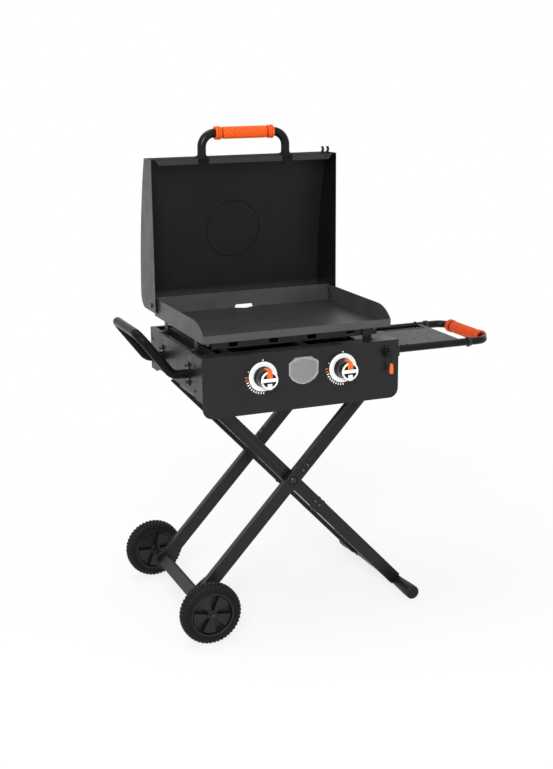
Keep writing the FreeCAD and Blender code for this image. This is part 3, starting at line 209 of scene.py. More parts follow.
def remix(made, socket, change):
    """Pass what reaches a shader's socket through a change, a function of tree and value."""
    tree = made.node_tree
    entry = tree.nodes["Principled BSDF"].inputs[socket]
    tree.links.new(change(tree, entry.links[0].from_socket), entry)
    return made


def griddle_finish():
    """Rolled steel whose level faces are painted darker than its walls as painted shade, in cloudy patches
    of uneven tone.
    """
    def shade_level_faces(tree, wall):
        cloud = ranged(tree, noise(tree, 11, 5, (1, 1.6, 1)), 0, 1)
        # Faces turned up take a darker tone than the walls as painted shade; the cloud adds patches of
        # uneven tone.
        level_shade_tone = mixed(tree, cloud, (0.011,) * 3, (0.019,) * 3)
        return mixed(tree, turned_to(tree, "Z", 0.5, 0.9), wall, level_shade_tone)

    made = surface("rolled_steel", (0.034, 0.034, 0.035), 0.46, spread=0.20, patch=7, depth=0.04,
                   stretch=(1, 2.5, 1), specular=0.8)
    return remix(made, "Base Color", shade_level_faces)


def grip_finish(name, colour, shade):
    """Orange rubber with painted shade in the grooves that the mesh's own rise marks."""
    def shade_grooves(tree, ridge):
        rise = add(tree, "ShaderNodeAttribute", attribute_name="rise")
        cloud = ranged(tree, noise(tree, 60, 3), 0, 1)
        # Painted shade: the groove tone darkens the rubber where the rise is low.
        groove_shade = mixed(tree, cloud, tuple(0.85 * c for c in shade), shade)
        return mixed(tree, ranged(tree, rise.outputs["Fac"], 0, 1, 0.05, 0.85), groove_shade, ridge)

    made = surface(name, colour, 0.45, spread=0.03, depth=0.06, grain=700, specular=0.2)
    return remix(made, "Base Color", shade_grooves)


def dark_topped(name, colour, rough, specular, axis="Z", start=0.55, **more):
    """A coat whose faces towards one axis are duller, so that they mirror less of the sky."""
    def dulled(tree, gloss):
        return mixed(tree, turned_to(tree, axis, start, start + 0.3), gloss, 0.95, "FLOAT")

    return remix(surface(name, colour, rough, specular=specular, **more), "Roughness", dulled)


FINISHES = {
    "black_sheet": surface("powder_coat_black", (0.008, 0.008, 0.0083), 0.36, depth=0.05, grain=1500,
                           specular=0.30),
    "side_sheet": surface("side_coat", (0.008, 0.008, 0.0083), 0.36, depth=0.05, grain=1500,
                          specular=0.25),
    "inner_sheet": surface("heat_dulled_steel", (0.030, 0.030, 0.031), 0.55, metal=0.3, patch=40,
                           specular=0.2),
    "burner_steel": surface("burner_steel", (0.055, 0.052, 0.050), 0.50, metal=0.5, patch=30,
                            spread=0.25, specular=0.2),
    "griddle_steel": griddle_finish(),
    "hood_sheet": surface("hood_coat", (0.005, 0.005, 0.0052), 0.36, depth=0.05, patch=5,
                          specular=0.45),
    "hood_wrap": dark_topped("hood_wrap_coat", (0.011, 0.011, 0.0113), 0.38, 0.18, depth=0.05, patch=5),
    "lip_coat": surface("lip_coat", (0.016, 0.016, 0.0165), 0.34, depth=0.03, specular=0.36),
    "shelf_sheet": surface("shelf_coat", (0.018, 0.018, 0.0185), 0.40, patch=12, specular=0.19),
    "cup_sheet": surface("drawn_tray", (0.55, 0.56, 0.57), 0.35, metal=1.0, patch=50),
    "black_tube": surface("tube_coat", (0.005, 0.005, 0.0053), 0.22, depth=0.02, specular=0.16),
    "bail_coat": surface("bail_coat", (0.005, 0.005, 0.0053), 0.24, depth=0.02, specular=0.07),
    "leg_tube": surface("leg_coat", (0.005, 0.005, 0.0053), 0.32, depth=0.03, specular=0.34),
    "axle_coat": dark_topped("axle_coat", (0.010, 0.010, 0.0103), 0.34, 0.30, "X", 0.2, depth=0.03),
    "orange_grip": grip_finish("grip_rubber", (0.97, 0.128, 0.010), (0.44, 0.036, 0.003)),
    # Darker copy of the grip rubber for the tow sleeve: painted shade, with deeper painted shade in its
    # grooves.
    "shaded_tow_rubber": grip_finish("shaded_tow_rubber", (0.70, 0.076, 0.010), (0.10, 0.007, 0.002)),
    "orange_tag": surface("tag_plastic", (0.90, 0.140, 0.022), 0.42, specular=0.25),
    "knob_plastic": surface("knob_plastic", (0.006, 0.006, 0.0063), 0.25, specular=0.22),
    "bezel_ring": surface("white_enamel", (0.84, 0.84, 0.84), 0.35, spread=0.04),
    "badge": surface("badge_satin", (0.26, 0.26, 0.27), 0.34, metal=0.5, spread=0.08),
    "black_plastic": surface("black_plastic", (0.008, 0.008, 0.0084), 0.42, specular=0.4),
    "wheel_plastic": surface("wheel_plastic", (0.007, 0.007, 0.0073), 0.36, specular=0.32),
    "tyre_rubber": surface("tyre_rubber", (0.006, 0.006, 0.0063), 0.50, depth=0.12, grain=500,
                           specular=0.14),
    "cap_rubber": surface("cap_rubber", (0.006, 0.006, 0.0063), 0.50, depth=0.1, grain=600,
                          specular=0.20),
    "matt_black": surface("matt_black", (0.006, 0.006, 0.0063), 0.55, specular=0.10),
    "black_bolts": surface("black_oxide", (0.008, 0.008, 0.0084), 0.30, specular=0.45),
    "bright_bolts": surface("bolt_steel", (0.060, 0.060, 0.062), 0.20, metal=0.4, patch=60,
                            specular=0.9),
    "zinc": surface("zinc_plate", (0.52, 0.52, 0.53), 0.32, metal=1.0, patch=60),
    "brass": surface("brass", (0.72, 0.50, 0.22), 0.30, metal=1.0, patch=80),
}

OWN_FINISH = {
    "burner_steel": ("left_burner", "right_burner", "igniters", "gas_manifold"),
    "hood_wrap": ("hood_shell",),
    "lip_coat": ("hood_lip",),
    "axle_coat": ("axle_bar",),
    "bail_coat": ("bail_handle",),
    "side_sheet": ("left_panel",),
    "knob_plastic": ("lock_pin", "pin_loop"),
}


def finish_nodes():
    """Give each solid the finish of its material slot, or its own where it has one."""
    finish_of = {row["node"]: row["material_slot"] for row in record["subparts"]}
    for finish, held in OWN_FINISH.items():
        finish_of.update({name: finish for name in held})
    for name, item in nodes.items():
        item.data.materials.clear()
        item.data.materials.append(FINISHES[finish_of[name]])


# Rounded edges

WELD_REACH = 0.01
SHARP_ANGLE = 40
SOFTENED = {
    0.5: ("front_panel", "left_panel", "right_panel", "rear_panel", "hood_left_end",
          "hood_right_end", "hood_lip", "shelf_plate", "wind_guard", "slide_rails",
          "griddle_posts"),
    0.7: ("front_wheel", "rear_wheel", "bail_brackets", "leg_brackets"),
    0.9: ("griddle_plate", "front_outer_leg", "rear_outer_leg", "front_inner_leg",
          "rear_inner_leg", "axle_bar", "left_knob", "right_knob", "badge_plate"),
}


def soften(item, width):
    """Round a sheet's or tube's sharp edges a little, as coated metal has them."""
    weld = item.modifiers.new("weld", "WELD")
    weld.merge_threshold = WELD_REACH * MM
    bevel = item.modifiers.new("bevel", "BEVEL")
    bevel.width = width * MM
    bevel.segments = 2
    bevel.limit_method = "ANGLE"
    bevel.angle_limit = math.radians(SHARP_ANGLE)
    bevel.use_clamp_overlap = True
    bevel.harden_normals = True


def soften_nodes():
    """Soften the sheets, tubes, wheels and knobs, each by its own width in millimetres."""
    for width, names in SOFTENED.items():
        for name in names:
            soften(nodes[name], width)


# Shapes: each gives points and faces

ON_AXIS = 1e-6
SIXTH = math.pi / 3


def lathe(profile, steps=48, wave=None, closed=False):
    """A turned form along Z from entries of distance and radius; a negative radius is a hexagon."""
    points, faces, rings = [], [], []
    for along, radius in profile:
        if abs(radius) < ON_AXIS:
            rings.append([len(points)])
            points.append((0, 0, along))
            continue
        ring = []
        for step in range(steps):
            angle = math.tau * step / steps
            r = radius
            if radius < 0:
                r = -radius / math.cos(angle % SIXTH - SIXTH / 2)
            if wave:
                r = wave(along, r, angle)
            ring.append(len(points))
            points.append((r * math.cos(angle), r * math.sin(angle), along))
        rings.append(ring)
    pairs = list(zip(rings, rings[1:]))
    if closed:
        pairs.append((rings[-1], rings[0]))
    for low, high in pairs:
        for step in range(steps):
            after = (step + 1) % steps
            if len(low) == 1:
                faces.append((low[0], high[after], high[step]))
            elif len(high) == 1:
                faces.append((low[step], low[after], high[0]))
            else:
                faces.append((low[step], low[after], high[after], high[step]))
    return points, faces


def slab(outline, depth):
    """A flat form from an outline in X and Y, raised along Z."""
    count = len(outline)
    points = [(x, y, z) for z in (0, depth) for x, y in outline]
    faces = [tuple(range(count - 1, -1, -1)), tuple(range(count, 2 * count))]
    faces += [(k, (k + 1) % count, count + (k + 1) % count, count + k) for k in range(count)]
    return points, faces


def plank(start, end, low, high, depth):
    """A slab over a rectangle."""
    return slab([(start, low), (end, low), (end, high), (start, high)], depth)


def band(inner, outer, start, end):
    """The outline of part of a flat ring, by angles in degrees."""
    steps = 4
    angles = [math.radians(start + (end - start) * k / steps) for k in range(steps + 1)]
    return ([(outer * math.cos(a), outer * math.sin(a)) for a in angles]
            + [(inner * math.cos(a), inner * math.sin(a)) for a in reversed(angles)])


def ribbon(path, thick):
    """The outline of a bent strip of even thickness."""
    left, right = [], []
    for at, point in enumerate(path):
        before, after = path[max(at - 1, 0)], path[min(at + 1, len(path) - 1)]
        run = Vector((after[0] - before[0], after[1] - before[1])).normalized() * thick / 2
        left.append((point[0] - run.y, point[1] + run.x))
        right.append((point[0] + run.y, point[1] - run.x))
    return left + right[::-1]


def wire(path, radius, steps=8, closed=False):
    """A round wire along a path of points."""
    path = [Vector(p) for p in path]
    points, faces, side = [], [], None
    count = len(path)
    for at, point in enumerate(path):
        before = path[at - 1] if closed or at else point
        after = path[(at + 1) % count] if closed or at < count - 1 else point
        run = (after - before).normalized()
        if side is None:
            side = run.orthogonal()
        side = (side - run * side.dot(run)).normalized()
        up = run.cross(side)
        for step in range(steps):
            angle = math.tau * step / steps
            points.append(point + radius * (side * math.cos(angle) + up * math.sin(angle)))
    for at in range(count if closed else count - 1):
        low, high = at * steps, (at + 1) % count * steps
        for step in range(steps):
            after = (step + 1) % steps
            faces.append((low + step, low + after, high + after, high + step))
    if not closed:
        faces.append(tuple(range(steps - 1, -1, -1)))
        faces.append(tuple(range((count - 1) * steps, count * steps)))
    return points, faces


# A head starts a little inside the sheet that it sits on
SUNK = -0.4


def button(radius, tall):
    """A domed bolt head with a hexagonal socket."""
    socket = 0.42 * radius
    return lathe([(SUNK, 0), (SUNK, radius), (0.3 * tall, radius), (0.7 * tall, 0.9 * radius),
                  (0.94 * tall, 0.7 * radius), (tall, -socket - 0.3), (tall, -socket),
                  (0.45 * tall, -socket), (0.4 * tall, 0)], 36)


def axle_nut():
    """A hexagonal nut with a washer face and a rounded bolt end."""
    radius, tall, bolt = 5.6, 1.4, 3.2
    return lathe([(SUNK, 0), (SUNK, radius * 1.25), (0.9, radius * 1.25), (1.0, -radius),
                  (tall - 0.6, -radius), (tall, -radius * 0.9), (tall, bolt), (tall + 1.6, bolt),
                  (tall + 2.2, bolt * 0.7), (tall + 2.2, 0)], 36)


def screw_end(radius, tall):
    """A nut with the screw's end standing out of it."""
    return lathe([(-0.3, 0), (-0.3, -radius), (tall * 0.6, -radius), (tall * 0.7, radius * 0.6),
                  (tall, radius * 0.5), (tall, 0)], 36)


# Places of pieces

AXES = {"+x": (1, 0, 0), "-x": (-1, 0, 0), "+y": (0, 1, 0), "-y": (0, -1, 0), "+z": (0, 0, 1),
        "-z": (0, 0, -1)}
FRONT = Matrix(((1, 0, 0, 0), (0, 0, -1, 0), (0, 1, 0, 0), (0, 0, 0, 1)))
SIDEWAYS = Matrix(((0, 0, 1, 0), (-1, 0, 0, 0), (0, 1, 0, 0), (0, 0, 0, 1)))


def facing(axis, x, y, z, spin=0.0):
    """A place at a point, with its own Z along one of the main axes."""
    turn = Vector(AXES[axis]).to_track_quat("Z", "Y").to_matrix().to_4x4()
    return Matrix.Translation((x, y, z)) @ turn @ Matrix.Rotation(math.radians(spin), 4, "Z")


def drawn_on(y, x=0, z=0):
    """A place for outlines in X and height that rise towards the front from a depth y."""
    return Matrix.Translation((0, y, 0)) @ FRONT @ Matrix.Translation((x, z, 0))


def leg_place(body):
    """The leg's own frame: X along the leg from the centre pivot, Z across it."""
    slope = STAND_ANGLE if body == "foot_frame" else -STAND_ANGLE
    return Matrix.Translation((PIVOT_X, 0, PIVOT_Z)) @ Matrix.Rotation(math.radians(slope), 4, "Y")


MERGE_REACH = 0.0001


class Form:
    """Faces gathered from shapes, then made into a piece of the model."""

    def __init__(self):
        self.points, self.faces = [], []

    def put(self, shape, place=None):
        """Add a shape at a place."""
        points, faces = shape
        start = len(self.points)
        place = place or Matrix()
        self.points += [place @ Vector(p) for p in points]
        self.faces += [[start + at for at in face] for face in faces]
        return self

    def piece(self, name, body, slot, hides=(), finish=None, smooth=38, bevel=0.0):
        """Make the piece, on its body and in place of the solids that it hides."""
        mesh = bpy.data.meshes.new(name)
        mesh.from_pydata([ORIGIN + p * MM for p in self.points], [], self.faces)
        form = bmesh.new()
        form.from_mesh(mesh)
        bmesh.ops.remove_doubles(form, verts=form.verts, dist=MERGE_REACH * MM)
        bmesh.ops.recalc_face_normals(form, faces=form.faces)
        form.to_mesh(mesh)
        form.free()
        mesh.materials.append(FINISHES[finish or slot])
        mesh.shade_smooth()
        mesh.set_sharp_from_angle(angle=math.radians(smooth))
        item = bpy.data.objects.new(name, mesh)
        bpy.context.scene.collection.objects.link(item)
        if bevel:
            soften(item, bevel)
        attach(item, body)
        if hides:
            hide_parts(*hides)
        return item


# Grips

COLLAR = [(0, 18.5), (1, 19.5), (4.4, 19.5), (5.0, 16.6), (6.6, 16.6), (7.2, 19.3), (10.2, 19.3),
          (10.8, 16.4), (12.4, 16.4), (13.0, 18.9), (16.2, 18.9), (16.8, 16.0), (19.2, 15.4), (22, 15.3)]
COLLAR_LONG, CORE_RADIUS = COLLAR[-1]
KNURL_PITCH, KNURL_STARTS = 9.6, 7
KNURL_RISE, KNURL_FADE = 2.3, 2.5

# Radius of the deepest painted shade and of the lightest tone in the grooves, and the least lightness
# between them
COLLAR_SHADES = (16.4, 18.6, 0)
KNURL_SHADES = (15.2, 17.4, 0.32)


def knurl(along, angle):
    """Height of a diamond pattern on the sleeve, from 0 to 1."""
    rise = 0
    for sign in (1, -1):
        turn = along / KNURL_PITCH + sign * KNURL_STARTS * angle / math.tau
        peak = 2 * abs(turn % 1 - 0.5)
        rise = max(rise, min(1, (peak - 0.40) / 0.35))
    return rise


def grip(name, node, body, axis, bore, finish=None):
    """Moulded sleeve: a ringed collar at each end and raised diamonds between them."""
    centre = Vector([middle(node, at) for at in (X, Y, Z)])
    along_axis = Vector(AXES[axis])
    start, end = span(node, X if axis == "+x" else Y)
    long = end - start
    rows = 150
    first, last = COLLAR_LONG, long - COLLAR_LONG
    core = [(first + (last - first) * k / rows, CORE_RADIUS) for k in range(1, rows)]
    profile = [(0, bore)] + COLLAR + core + [(long - s, r) for s, r in reversed(COLLAR)] + [(long, bore)]

    def wave(along, radius, angle):
        if not first < along < last:
            return radius
        fade = min(1, (along - first) / KNURL_FADE, (last - along) / KNURL_FADE)
        return radius + KNURL_RISE * fade * knurl(along - long / 2, angle)

    foot = centre - along_axis * long / 2
    form = Form().put(lathe(profile, 96, wave, closed=True), facing(axis, *foot))
    sleeve = form.piece(name, body, "orange_grip", hides=[node], finish=finish, smooth=30)
    mark_rise(sleeve, centre, along_axis, long / 2 - COLLAR_LONG)


def mark_rise(sleeve, centre, along_axis, half_core):
    """Store how far each point stands above the grooves; the finish paints shade where it is low."""
    rise = sleeve.data.attributes.new("rise", "FLOAT", "POINT")
    place = ORIGIN + centre * MM
    for vertex, mark in zip(sleeve.data.vertices, rise.data):
        off = (vertex.co - place) / MM
        along = off.dot(along_axis)
        radius = (off - along_axis * along).length
        low, high, least = COLLAR_SHADES if abs(along) > half_core else KNURL_SHADES
        mark.value = max(least, min(1, (radius - low) / (high - low)))


# Knobs and the marks round them

FACE_RING = [(-4.4, 23.4), (-3.2, 24.2), (0.4, 24.8), (1.4, 24.2), (1.8, 23.4), (1.8, 20.4),
             (1.0, 19.6), (0.4, 19.6), (0.4, 22.5)]
FACE_TAB = [(-5.8, -25.4), (5.8, -25.4), (6.6, -22), (6.6, -9.4), (-6.6, -9.4), (-6.6, -22)]
POINTER = [(-7.6, 6.4), (7.6, 6.4), (8.4, 12), (7.2, 21), (5.2, 27.2), (-5.2, 27.2), (-7.2, 21),
           (-8.4, 12)]
POINTER_BACK = [(-26.5, 24.0), (2.6, 23.6), (2.6, 27.2), (-26.5, 28.4)]
POINTER_WIDE = 10.4
BEZEL = [(0, 27.5), (2.6, 28.0), (3.2, 29.5), (2.9, 38.5), (1.8, 40.8), (0, 41.2)]


def knob_face(side, x):
    """Pale face ring, cross bar and tab, and an orange pointer that runs back over the skirt."""
    body = side + "_knob"
    place = drawn_on(KNOB_FACE_Y, x, KNOB_Z)
    form = Form().put(lathe(FACE_RING, 72, closed=True), place)
    form.put(plank(-20.3, 20.3, -4.6, 5.2, 1.9), place)
    form.put(slab(FACE_TAB, 2.6), place)
    form.piece(body + "_face", body, "bezel_ring", bevel=0.5)
    pointer = Form().put(slab(POINTER, 2.9), place)
    corner = Matrix.Translation((x - POINTER_WIDE / 2, KNOB_FACE_Y, KNOB_Z))
    pointer.put(slab(POINTER_BACK, POINTER_WIDE), corner @ SIDEWAYS)
    pointer.piece(body + "_pointer", body, "orange_tag", bevel=0.7)


def knob_rings():
    """Pale raised ring behind each knob."""
    rings = Form()
    for x in (-KNOB_X, KNOB_X):
        rings.put(lathe(BEZEL, 96, closed=True), drawn_on(FRONT_Y + 0.1, x, KNOB_Z))
    rings.piece("knob_rings", "base", "bezel_ring", hides=["knob_bezels"])


def dial_marks():
    """Plain printed dots and ticks round the knobs, with two orange ticks where it lights."""
    paint = 0.3
    white, orange = Form(), Form()
    for x in (-KNOB_X, KNOB_X):
        here = drawn_on(FRONT_Y, x, KNOB_Z)
        for radius, clock, size in ((45.4, 90, 2.1), (45.6, 158, 1.5)):
            angle = math.radians(clock)
            spot = Matrix.Translation((radius * math.cos(angle), radius * math.sin(angle), 0))
            dot = lathe([(-0.2, 0), (-0.2, size), (0.22, size), (paint, size - 0.3), (paint, 0)], 20)
            white.put(dot, here @ spot)
        for step in range(9):
            clock = 197 + 9.3 * step
            white.put(slab(band(43.6, 50.4 - 0.25 * step, clock - 1.9, clock + 1.9), paint), here)
        for clock in (178.5, 187.5):
            orange.put(slab(band(44.6, 52.6, clock - 1.5, clock + 1.5), paint), here)
    white.piece("scale_marks", "base", "bezel_ring")
    orange.piece("ignition_marks", "base", "orange_tag")


SHIELD_HALF = [(0, -38), (18, -34), (34, -24), (43.5, -10), (44, 22), (40, 27), (24, 33), (8, 37.5)]


def badge_rim():
    """Raised rim and inner line of the bare shield between the knobs."""
    shield = SHIELD_HALF + [(-x, z) for x, z in reversed(SHIELD_HALF[1:])]
    place = drawn_on(span("badge_plate", Y)[0] + 0.2, 0, middle("badge_plate", Z))
    rim = Form()
    for out, into, tall in ((1.0, 0.93, 1.5), (0.89, 0.865, 0.6)):
        outer = [(x * out, z * out) for x, z in shield]
        inner = [(x * into, z * into) for x, z in shield]
        for at in range(len(shield)):
            after = (at + 1) % len(shield)
            rim.put(slab([outer[at], outer[after], inner[after], inner[at]], tall), place)
    rim.piece("badge_rim", "base", "badge", finish="zinc")


# Fasteners

LEG_TURNS = {"front": "-y", "back": "+y", "top": "+z", "low": "-z"}
SIDES = (("-x", -1), ("+x", 1))


def heads(name, body, rows, hides=(), shape=button):
    """Fasteners of one body: each row is an axis, a point, a radius and a height."""
    form = Form()
    for axis, x, y, z, radius, tall in rows:
        form.put(shape(radius, tall), facing(axis, x, y, z, 17 * len(form.points) % 60))
    form.piece(name, body, "black_bolts", hides=hides, smooth=30)


def leg_heads(name, body, rows):
    """Bolt heads on the legs: each row is a face, places along and across, a depth and a radius."""
    form, washers = Form(), Form()
    for face, along, across, y, radius in rows:
        place = leg_place(body) @ facing(LEG_TURNS[face], along, y, across)
        form.put(button(radius, 2.4), place)
        washers.put(lathe([(-0.3, radius * 0.9), (0.7, radius * 0.9), (0.7, radius * 1.4),
                           (-0.3, radius * 1.5)], 36, closed=True), place)
    form.piece(name, body, "black_bolts", finish="bright_bolts", smooth=30)
    washers.piece(name + "_washers", body, "black_bolts", finish="matt_black", smooth=30)


def body_screws():
    """Screws of the body's sheets, of its floor and of the two bail brackets."""
    front, back = inset("body_screws", Y, 4)
    low, high = inset("body_screws", Z, 4)
    floor_z = span("floor_tray", Z)[0]
    bracket_x = span("bail_brackets", X)[0]
    rows = [("-x", -HALF_BODY, y, z, 4.4, 2.4) for y, z in
            ((front, high), (front, low), (back, low), (back, high))]
    rows += [("+x", HALF_BODY, y, low, 4.4, 2.4) for y in (front, back)]
    rows += [("+y", x, BACK_Y, z, 4.0, 2.4) for x in (-280, 280) for z in (low, 772)]
    rows += [("-z", x, y, floor_z, 4.0, 2.0) for x in (-240, 240) for y in (40, 364)]
    rows += [("-x", bracket_x, y, z, 5.6, 4.0) for y in inset("bail_brackets", Y, 9)
             for z in inset("bail_brackets", Z, 8)]
    heads("body_screw_heads", "base", rows, hides=["body_screws"])


def hood_screws():
    """Hinge bolts of the hood, and the screws and nuts that hold its brackets to the griddle."""
    hinge_x = span("hood_right_end", X)[1]
    heads("hood_screws", "hood",
          [(axis, sign * hinge_x, HINGE_Y, HINGE_Z, 7.4, 3.0) for axis, sign in SIDES])
    heads("griddle_screws", "griddle", [(axis, sign * 283, y, z, 3.8, 2.2) for axis, sign in SIDES
                                        for y, z in ((402, 870), (402, 848))])
    inwards = (("+x", -1), ("-x", 1))
    heads("griddle_nuts", "griddle", [(axis, sign * 277.4, y, z, 5.2, 5.5) for axis, sign in inwards
                                      for y, z in ((402, 868), (395, 850))], shape=screw_end)


def stand_bolts():
    """Bolt heads on the faces and edges of the four legs."""
    outer, inner = [], []
    for face, y in zip(("front", "back"), OUTER_LEG_YS):
        outer += [(face, 60.2, -4.2, y, 4.3), (face, 40.6, -3.6, y, 4.3), (face, 0, 0, y, 9.2),
                  (face, 110.4, -8.2, y, 1.7), (face, 93.6, -7.4, y, 1.7)]
    for face, y in zip(("front", "back"), INNER_LEG_YS):
        inner += [(face, 112.6, 1.7, y, 4.3), (face, 131.1, 1.5, y, 4.3),
                  (face, 167.3, 0.5, y, 1.7), (face, 181.9, 1.0, y, 1.7)]
    for y in (OUTER_LEG_YS[0] + 9.5, OUTER_LEG_YS[1] - 9.5):
        outer += [("top", along, LEG_HALF, y, 3.9) for along in (69.9, 50.3)]
    for y in (INNER_LEG_YS[0] + 9.5, INNER_LEG_YS[1] - 9.5):
        inner += [("top", along, LEG_HALF, y, 4.2) for along in (120.8, 139.5)]
        inner.append(("low", 126, -LEG_HALF, y, 4.2))
    leg_heads("outer_leg_heads", "wheel_frame", outer)
    leg_heads("inner_leg_heads", "foot_frame", inner)


def leg_edge_highlights():
    """Bright zinc beads along the lower edge of the inner legs: a painted highlight on that edge."""
    highlight_beads = Form()
    for y in (INNER_LEG_YS[0] - 0.1, INNER_LEG_YS[1] + 0.1):
        for start, end in ((35.4, 106), (142.3, 222)):
            path = [(start + (end - start) * k / 6, y, 0.9 - LEG_HALF) for k in range(7)]
            highlight_beads.put(wire(path, 0.9), leg_place("foot_frame"))
    highlight_beads.piece("inner_leg_painted_highlights", "foot_frame", "zinc")


# Wheels

TYRE_WIDE, TYRE_RADIUS, SEAT_RADIUS = 40, AXLE_Z, 62
TREAD_HALF, MIDDLE_ROW_HALF = 18.5, 5.6
BLOCKS, BLOCK_DEEP = 46, 2.3
BLOCK_HALF, BLOCK_EDGE = 0.33, 0.10


def tyre_profile():
    """The tyre's section: a seat, ringed walls and a tread with two grooves."""
    seat, tread = SEAT_RADIUS, TYRE_RADIUS
    half = [(1.5, seat - 0.5), (0.2, seat + 2), (0.2, seat + 5), (1.1, seat + 6), (1.1, seat + 7.5),
            (0, seat + 8.5), (0, seat + 13), (0.6, seat + 14.5), (0.3, seat + 16),
            (1.5, seat + 18.6), (2.0, seat + 20), (4.2, tread - 3.2), (7.0, tread - 1.2),
            (10.5, tread - 0.4), (13.2, tread), (13.6, tread - 2.6), (14.8, tread - 2.6),
            (15.2, tread), (19, tread)]
    return (half + [(TYRE_WIDE - s, r) for s, r in reversed(half)]
            + [(TYRE_WIDE - 3, seat - 0.5), (3, seat - 0.5)])


def tyre(side, start):
    """Tyre with ringed side walls and three rows of small tread blocks."""
    def blocks(along, radius, angle):
        off_centre = abs(along - TYRE_WIDE / 2)
        if radius < TYRE_RADIUS - 7.5 or off_centre > TREAD_HALF:
            return radius
        shift = 0 if off_centre < MIDDLE_ROW_HALF else 0.5
        phase = (angle / math.tau * BLOCKS + shift) % 1
        edge = min(1, max(0, (BLOCK_HALF - abs(phase - 0.5)) / BLOCK_EDGE))
        return radius - BLOCK_DEEP * (1 - edge)

    shape = lathe(tyre_profile(), BLOCKS * 10, blocks, closed=True)
    form = Form().put(shape, facing("+y", AXLE_X, start, AXLE_Z))
    form.piece(side + "_tread", side + "_wheel", "tyre_rubber", hides=[side + "_tyre"], smooth=40)


def wheel_trim(side, start):
    """Rim lip and hub ring on both faces of a wheel."""
    rim_lip = [(-1, 57.8), (0.9, 57.8), (1.3, 58.6), (0.7, 61.6), (-1, 62.2)]
    hub_ring = [(-1, 9), (1.6, 9), (2.2, 10.2), (2.0, 12.2), (0.6, 13.8), (-1, 14.2)]
    form = Form()
    for axis, y in (("-y", start + 1.0), ("+y", start + TYRE_WIDE - 1.0)):
        place = facing(axis, AXLE_X, y, AXLE_Z)
        form.put(lathe(rim_lip, 96, closed=True), place)
        form.put(lathe(hub_ring, 64, closed=True), place)
    form.piece(side + "_wheel_trim", side + "_wheel", "wheel_plastic", smooth=35)


def axle_nuts():
    """Nut at each end of the axle."""
    front, rear = span("front_wheel", Y)[0] - 0.3, span("rear_wheel", Y)[1] + 0.3
    nuts = Form()
    for axis, y in (("-y", front), ("+y", rear)):
        nuts.put(axle_nut(), facing(axis, AXLE_X, y, AXLE_Z))
    nuts.piece("axle_nuts", "wheel_frame", "black_bolts", finish="bright_bolts", smooth=30)


# Hood details

BACK_RADIUS, BACK_CENTRE_Y, BACK_CENTRE_Z = 1398.5, -875.2, 834.95
PRESSING_Z, PRESSING_RADIUS = 1060, 85


def hood_back(z):
    """Depth of the hood's inner face at a height."""
    return BACK_CENTRE_Y + math.sqrt(BACK_RADIUS ** 2 - (z - BACK_CENTRE_Z) ** 2)


def hood_pressing():
    """Round line pressed into the hood's curved back, on both of its faces."""
    ring = Form()
    for gap in (-0.1, 1.6):
        path = []
        for step in range(96):
            angle = math.tau * step / 96
            z = PRESSING_Z + PRESSING_RADIUS * math.sin(angle)
            path.append((PRESSING_RADIUS * math.cos(angle), hood_back(z) + gap, z))
        ring.put(wire(path, 1.3, closed=True))
    ring.piece("hood_pressing", "hood", "hood_sheet", finish="matt_black")


def tool_hook():
    """Spring clip with two wavy prongs on the hood's top, and a small tongue below it."""
    left, right = span("tool_clip", X)
    back = drawn_on(span("tool_clip", Y)[1])
    prong = [(0.6, -0.8), (-1.2, 5.2), (1.6, 11.7), (-1.0, 16.2), (0.2, 19.8)]
    clip = Form()
    for x in (left + 2.5, right - 3):
        clip.put(slab(ribbon([(x + off, HOOD_TOP + rise) for off, rise in prong], 3.6), 12), back)
    clip.put(plank(left, right, HOOD_TOP - 0.5, HOOD_TOP + 2.6, 12), back)
    tongue = [(left + 5, HOOD_TOP - 1.8), (left + 11, HOOD_TOP - 13.8), (left + 17, HOOD_TOP - 1.8)]
    clip.put(slab(ribbon(tongue, 2.2), 1.6), drawn_on(span("hood_shell", Y)[0] + 1.2))
    clip.piece("tool_hook", "hood", "black_bolts", hides=["tool_clip"], finish="matt_black", bevel=0.4)


def handle_collars():
    """Stepped collar at each foot of the hood's handle."""
    foot = [(-0.5, 12.6), (-0.5, 19.4), (3.2, 19.4), (4.2, 18.4), (4.8, 14.8), (7.5, 13.6), (9, 12.6)]
    collars = Form()
    for x in inset("hood_handle", X, 16.7):
        collars.put(lathe(foot, closed=True), facing("+z", x, HANDLE_Y, HOOD_TOP))
    collars.piece("handle_collars", "hood", "black_tube", finish="matt_black")


# Lock, shelf and tubes

LOBES_HALF = [(6, -17), (9, -14), (9, -9), (13, -6), (14, 0), (13, 6), (9, 9), (9, 14), (6, 17)]
LOCK_PLATE_Z = LOCK_Z + 1.2


def lock_housing():
    """Lobed plate with a socket for the pin, and its two screws."""
    lobes = LOBES_HALF + [(-x, z) for x, z in reversed(LOBES_HALF)]
    plate = Form().put(slab(lobes, 3.2), drawn_on(FRONT_Y + 0.2, LOCK_X, LOCK_PLATE_Z))
    socket = [(0, 8.2), (0, 10.5), (12.5, 10.5), (14.2, 9.4), (14.2, 8.2)]
    plate.put(lathe(socket, 40, closed=True), drawn_on(FRONT_Y, LOCK_X, LOCK_Z))
    plate.piece("lock_housing", "base", "black_plastic", finish="matt_black", bevel=0.6)
    heads("lock_screws", "base", [("-y", LOCK_X, FRONT_Y - 3, LOCK_PLATE_Z + step, 3.4, 2.0)
                                  for step in (-12.5, 13)])


def rack_painted_shade():
    """Matt black sheets on the floor and walls of the channel along the shelf's back edge: painted shade
    in the recess.
    """
    left, right = span("shelf_plate", X)
    low, high = span("shelf_plate", Z)
    back = span("shelf_plate", Y)[1]
    thick = 0.5
    shade_sheets = Form()
    shade_sheets.put(plank(left + 2, right - 14.5, back - 37, back - 2, thick),
              Matrix.Translation((0, 0, low + 1.6)))
    for y in (back - 1.8, back - 41.8):
        shade_sheets.put(plank(left + 2, right - 2.5, low + 0.8, high - 2, thick), drawn_on(y))
    shade_sheets.piece("rack_painted_shade", "shelf", "black_plastic", finish="matt_black")


